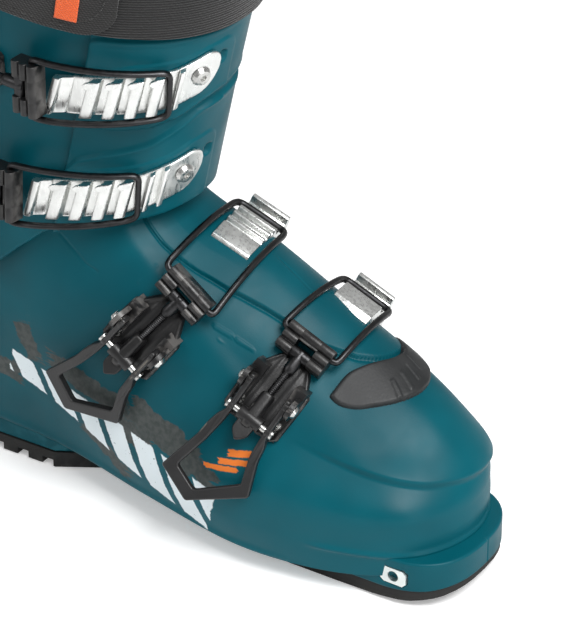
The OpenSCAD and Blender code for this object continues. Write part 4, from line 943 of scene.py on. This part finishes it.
def build_soft():
    # power strap: ribbed webbing all round, smooth stitched cover strip on top with a rounded free end
    f = np.linspace(0, -360, 420, endpoint=False); w = ends(34, 1.0, .04, 4)
    Fg, Wg = np.meshgrid(f, w); Z = strap_z(Fg, Wg)
    P, N = cpt(Fg, Z), cnm(Fg, Z)
    ripple = .10 * np.cos(Wg * 38 / 2.2 * 2 * math.pi) * ss(0, .05, Wg) * ss(1, .95, Wg)
    sag = .25 * np.sin(np.radians(Fg * 3) + Wg * 4)
    V, Fc = slab(P, N, 3.3 + ripple + sag * .5, np.full(Fg.shape, 1.65), None, np.minimum(Wg, 1 - Wg) * 42, .8, True)
    ob = add("strap_webbing", V, Fc, M["strap"], "cuff", "strap_fabric", weld=1e-4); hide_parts("power_strap")
    f = -58 - ends(230, 160, 6, 10); f = f
    w = ends(34, 1.0, .04, 4); Fg, Wg = np.meshgrid(f, w)
    de = -58 - f  # distance from the free end
    pinch = np.where(de < 14, np.sqrt(np.maximum(1 - ((14 - np.clip(de, 0, 14)) / 14) ** 2, 0)), 1.0)
    pinch = .35 + .65 * pinch
    Wp = .5 + (Wg - .5) * pinch[None]
    Z = strap_z(Fg, Wp); P, N = cpt(Fg, Z), cnm(Fg, Z)
    V, Fc = slab(P, N, 5.0 + .12 * np.sin(Fg * .35) , np.full(Fg.shape, 3.55), np.minimum(de, 160 - de)[None] + 0 * Fg, np.minimum(Wg, 1 - Wg) * 42 * pinch[None], .7)
    add("strap_cover", V, Fc, M["strap2"], "cuff", "strap_fabric", weld=1e-4)
    for nm, wq in (("strap_stitch_low", .085), ("strap_stitch_high", .915)):
        fs = -74 - np.arange(0, 140, 3.1); z = strap_z(fs, wq); stitches(nm, coff(fs, z, 5.12 + 0 * fs), cnm(fs, z), "cuff", M["thread"])
    # stitched row round the free end
    a = np.radians(np.linspace(90, -90, 14)); fs = -74 + 11 * np.cos(a); z = strap_z(fs, .5 + .34 * np.sin(a)); stitches("strap_stitch_end", coff(fs, z, 5.12 + 0 * fs), cnm(fs, z), "cuff", M["thread"])
    # woven label
    Fg, Wg = np.meshgrid(np.linspace(-79.5, -71.5, 40), np.linspace(.16, .5, 30)); Z = strap_z(Fg, Wg)
    P, N = cpt(Fg, Z), cnm(Fg, Z)
    du = np.minimum(Fg + 79.5, -71.5 - Fg); dv = np.minimum(Wg - .16, .5 - Wg) * 38
    V, Fc = slab(P, N, 5.75 + .06 * np.sin(Fg * 4) * np.sin(Wg * 90), np.full(Fg.shape, 4.9), du, dv, .35)
    add("strap_label", V, Fc, M["label"], "cuff", "strap_fabric", weld=1e-4)
    # liner cuff: padded, quilted, open at the front
    f = np.linspace(-33, -327, 210); t = ends(120, 1.0, .03, 5)
    Fg, Tg = np.meshgrid(f, t)
    X = cpt(f, 190.)[:, 0]; z0 = np.maximum(122 + np.sqrt(np.maximum(88 ** 2 - (X + 84) ** 2, 0)), 174); z1 = 300 + .12 * (-X - 20)
    Z = z0[None] + (z1 - z0)[None] * Tg
    P, N = cpt(Fg, Z), cnm(Fg, Z)
    quilt = np.zeros_like(Z)
    for q in (252, 272, 289): quilt -= 1.3 * np.exp(-((Z - q) / 1.6) ** 2)
    quilt -= 1.1 * (np.exp(-((Fg + 110) / 1.6) ** 2) + np.exp(-((Fg + 250) / 1.6) ** 2)) * ss(230, 240, Z)
    puff = .8 * ss(0, .1, Tg) * ss(1, .9, Tg)
    d = np.minimum(np.abs(Fg + 33), np.abs(Fg + 327)); hz = np.minimum(Tg, 1 - Tg) * (z1 - z0)[None]
    V, Fc = slab(P, N, -10.2 + quilt + puff, -15.8 - .5 * quilt - puff, d, hz, 2.6)
    ob = add("liner_leg", V, Fc, M["liner"], None, "foam_fabric", weld=1e-4)
    puffed(ob, .0022, .0035, 3.0)
    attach(ob, "cuff"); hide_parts("liner_cuff")
    # binding tape round the top of the liner
    fs = np.linspace(-35, -325, 260); x = cpt(fs, 190.)[:, 0]; zt = 300 + .12 * (-x - 20)
    pth = coff(fs, zt - .2, -13.0 + 0 * fs)
    Vt, Ft = tube(pth, 3.3, cnm(fs, zt), 14, False, .85)
    add("liner_binding", Vt, Ft, M["strap2"], "cuff", "foam_fabric")
    for q in (252, 272, 289):
        fs = -40 - np.arange(0, 280, 3.2); x = cpt(fs, 190.)[:, 0]; ok = (300 + .12 * (-x - 20)) > q + 4
        fs = fs[ok]; stitches("liner_stitch_%d" % q, coff(fs, q + 0 * fs, -9.9 + 0 * fs), cnm(fs, q + 0 * fs), "cuff", M["thread"], 2.2, .33, "foam_fabric")
    # tongue: padded shin plate with a soft upper edge
    f = np.linspace(26, -26, 90); t = ends(120, 1.0, .03, 5); Fg, Tg = np.meshgrid(f, t); Z = 176 + 129.6 * Tg
    P, N = cpt(Fg, Z), cnm(Fg, Z)
    ridge = np.zeros_like(Z)
    for q in (200, 222, 244, 266, 286): ridge -= 1.3 * np.exp(-((Z - q) / 1.7) ** 2)
    edge = 1.0 * np.exp(-((np.abs(Fg) - 20) / 1.3) ** 2)
    dz = np.minimum(Tg, 1 - Tg) * 129.6; du = 26 - np.abs(Fg)
    V, Fc = slab(P, N, -10.3 + ridge - edge, -16.2 - .4 * ridge, du, dz, 3)
    ob = add("liner_tongue_pad", V, Fc, M["liner"], None, "foam_fabric", weld=1e-4)
    puffed(ob, .002, .0035, 3.0)
    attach(ob, "cuff"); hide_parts("liner_tongue")
    fs = np.linspace(24, -24, 60); pth = coff(fs, 305.0 + 0 * fs, -13.2 + 0 * fs)
    Vt, Ft = tube(pth, 3.2, cnm(fs, 305. + 0 * fs), 14, False, .85)
    add("tongue_binding", Vt, Ft, M["strap2"], "cuff", "foam_fabric")
    # foot of the liner
    NU, NV = 200, 90
    u = np.arange(NU) * 14 / NU; v = np.linspace(.8, 6.9, NV); U, V_ = np.meshgrid(u, v); P = netpt(U, V_); N = netn(U, V_)
    fl = lambda x: np.interp(x, [-140, -20, 60, 145], [37.4, 34, 28.6, 27.6])
    def lay(off_, lift):
        Q = P + np.asarray(off_)[..., None] * N; Q[..., 2] = np.maximum(Q[..., 2], fl(Q[..., 0]) + lift); return Q
    quilt = .7 * np.exp(-((np.mod(V_ * 2.2, 1) - .5) / .06) ** 2)
    e = np.clip((6.9 - V_) / .12, 0, 1); e = 2.2 * (1 - np.sqrt(1 - (1 - e) ** 2))
    A = lay(-5.5 - e, 0) - (quilt * ss(3.5, 4.5, V_))[..., None] * N; B = lay(-9.9 + e, 5)
    VV = np.concatenate([A.reshape(-1, 3), B.reshape(-1, 3)]); o = NU * NV
    F = gfaces(NU, NV, 0, True, True).tolist() + gfaces(NU, NV, o, True).tolist()
    for off_ in (0, o):
        for i in range(NU // 2):
            q = (off_ + i, off_ + i + 1, off_ + (NU - i - 1) % NU, off_ + (NU - i) % NU)
            g_ = [x for j, x in enumerate(q) if x not in q[:j]]
            if len(g_) >= 3: F.append(g_)
    t1, t2 = (NV - 1) * NU, o + (NV - 1) * NU
    for i in range(NU): F.append([t1 + i, t1 + (i + 1) % NU, t2 + (i + 1) % NU, t2 + i])
    ob = add("liner_foot_bootie", VV, F, M["liner"], "shell", "foam_fabric"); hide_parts("liner_foot")
    # insole
    out = []
    for a in range(0, 360, 4):
        c, s = math.cos(math.radians(a)), math.sin(math.radians(a)); out.append((-6 + 105.5 * c, (19.6 + 5 * c) * float(sp(s, .8)) + 1))
    v, fc = plate(out, (), 0, 2.9, .9, 3)
    v[:, 2] += np.interp(v[:, 0], [-120, -20, 60, 110], [42.9, 39.5, 34.2, 33.6])
    ob = add("insole_pad", v, fc, M["lining"], "shell", "foam_fabric"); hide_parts("footbed")


# ------------------------------------------------------------------ CAD nodes that stay
def dress_cad():
    keep = {"toe_sole": "rubber", "heel_sole": "rubber", "toe_pin_insert": "insert", "heel_pin_insert": "insert", "sole_screws": "steel", "bootboard": "grey", "rear_spoiler": "black",
            "pivot_bolts": "steel", "walk_lever": "lever", "walk_pin": "steel", "lock_bar": "steel", "strap_rivets": "steel", "ladder_screws": "steel",
            "base_rivets_shell": "steel", "base_rivets_cuff": "steel"}
    bev = {"toe_sole": .7, "heel_sole": .5, "rear_spoiler": .6, "ladder_screws": .25, "walk_lever": .7}
    for k in range(1, 5):
        keep["b%d_base" % k] = "black"; keep["b%d_pivot_pins" % k] = "steel"; keep["b%d_clevis_pin" % k] = "steel"; bev["b%d_base" % k] = .5
    for n, mname in keep.items():
        o = NODES[n]
        o.data.materials.clear(); o.data.materials.append(M[mname])
        for p in o.data.polygons: p.material_index = 0
        w = o.modifiers.new("weld", "WELD"); w.merge_threshold = 1e-5
        b = o.modifiers.new("bevel", "BEVEL"); b.width = bev.get(n, .3) * MM; b.segments = 2; b.limit_method = "ANGLE"; b.angle_limit = math.radians(30); b.use_clamp_overlap = True
        wn = o.modifiers.new("wn", "WEIGHTED_NORMAL"); wn.keep_sharp = False; wn.weight = 80


build_shell(); build_cover(); build_cuff(); build_ladders(); build_catches(); build_trays()
for k in range(4): build_buckle(k)
build_soft(); dress_cad()

# ------------------------------------------------------------------ stage
def area(name, loc, target, size, power, col=(1, 1, 1)):
    l = bpy.data.lights.new(name, "AREA"); l.shape = "RECTANGLE"; l.size = size[0]; l.size_y = size[1]; l.energy = power; l.color = col
    o = bpy.data.objects.new(name, l); bpy.context.scene.collection.objects.link(o); o.location = loc
    o.rotation_euler = (Vector(target) - Vector(loc)).to_track_quat("-Z", "Y").to_euler()
    return o


me = bpy.data.meshes.new("floor"); me.from_pydata([(-6, -6, -.0006), (6, -6, -.0006), (6, 6, -.0006), (-6, 6, -.0006)], [], [(0, 1, 2, 3)])
floor = bpy.data.objects.new("floor", me); bpy.context.scene.collection.objects.link(floor)
fg = G("floor_white"); fg.set("Base Color", fg.mix(fg.ramp(fg.noise(2, 3), .3, .7), (.93, .93, .93), (.95, .95, .95))); fg.set("Roughness", .9); me.materials.append(fg.m)
fg.set("Emission Color", (1.0, 1.0, 1.0)); fg.set("Emission Strength", fg.math("MULTIPLY", fg.n("ShaderNodeLightPath").outputs["Is Camera Ray"], .30))
wd = bpy.data.worlds.new("w"); bpy.context.scene.world = wd; wd.use_nodes = True
wt = wd.node_tree; wb = wt.nodes["Background"]; wb.inputs[0].default_value = (1, 1, 1, 1)
lp = wt.nodes.new("ShaderNodeLightPath"); mr = wt.nodes.new("ShaderNodeMapRange"); mr.inputs["To Min"].default_value = .34; mr.inputs["To Max"].default_value = 1.0
wt.links.new(lp.outputs["Is Camera Ray"], mr.inputs["Value"]); wt.links.new(mr.outputs["Result"], wb.inputs[1])
area("key", (.75, -.25, 1.15), (.02, 0, .1), (.7, .6), 18)
area("left", (-.7, -1.0, .9), (-.05, 0, .15), (.5, .7), 3.2)
area("front", (1.3, -.5, .45), (.05, 0, .1), (.4, .9), 3)
bpy.context.scene.view_settings.view_transform = "Standard"

az, el, D = math.radians(33.2), math.radians(31.75), 1.3
T = Vector((.0433, .0114, .0970))
back = Vector((math.sin(az) * math.cos(el), -math.cos(az) * math.cos(el), math.sin(el)))
cd = bpy.data.cameras.new("cam"); cam = bpy.data.objects.new("cam", cd); bpy.context.scene.collection.objects.link(cam)
cd.sensor_fit = "HORIZONTAL"; cd.sensor_width = 36; cd.lens = 2960 / 580 * 36; cd.clip_start = .05; cd.clip_end = 50
cam.location = T + back * D; cam.rotation_euler = (-back).to_track_quat("-Z", "Y").to_euler()
bpy.context.scene.camera = cam
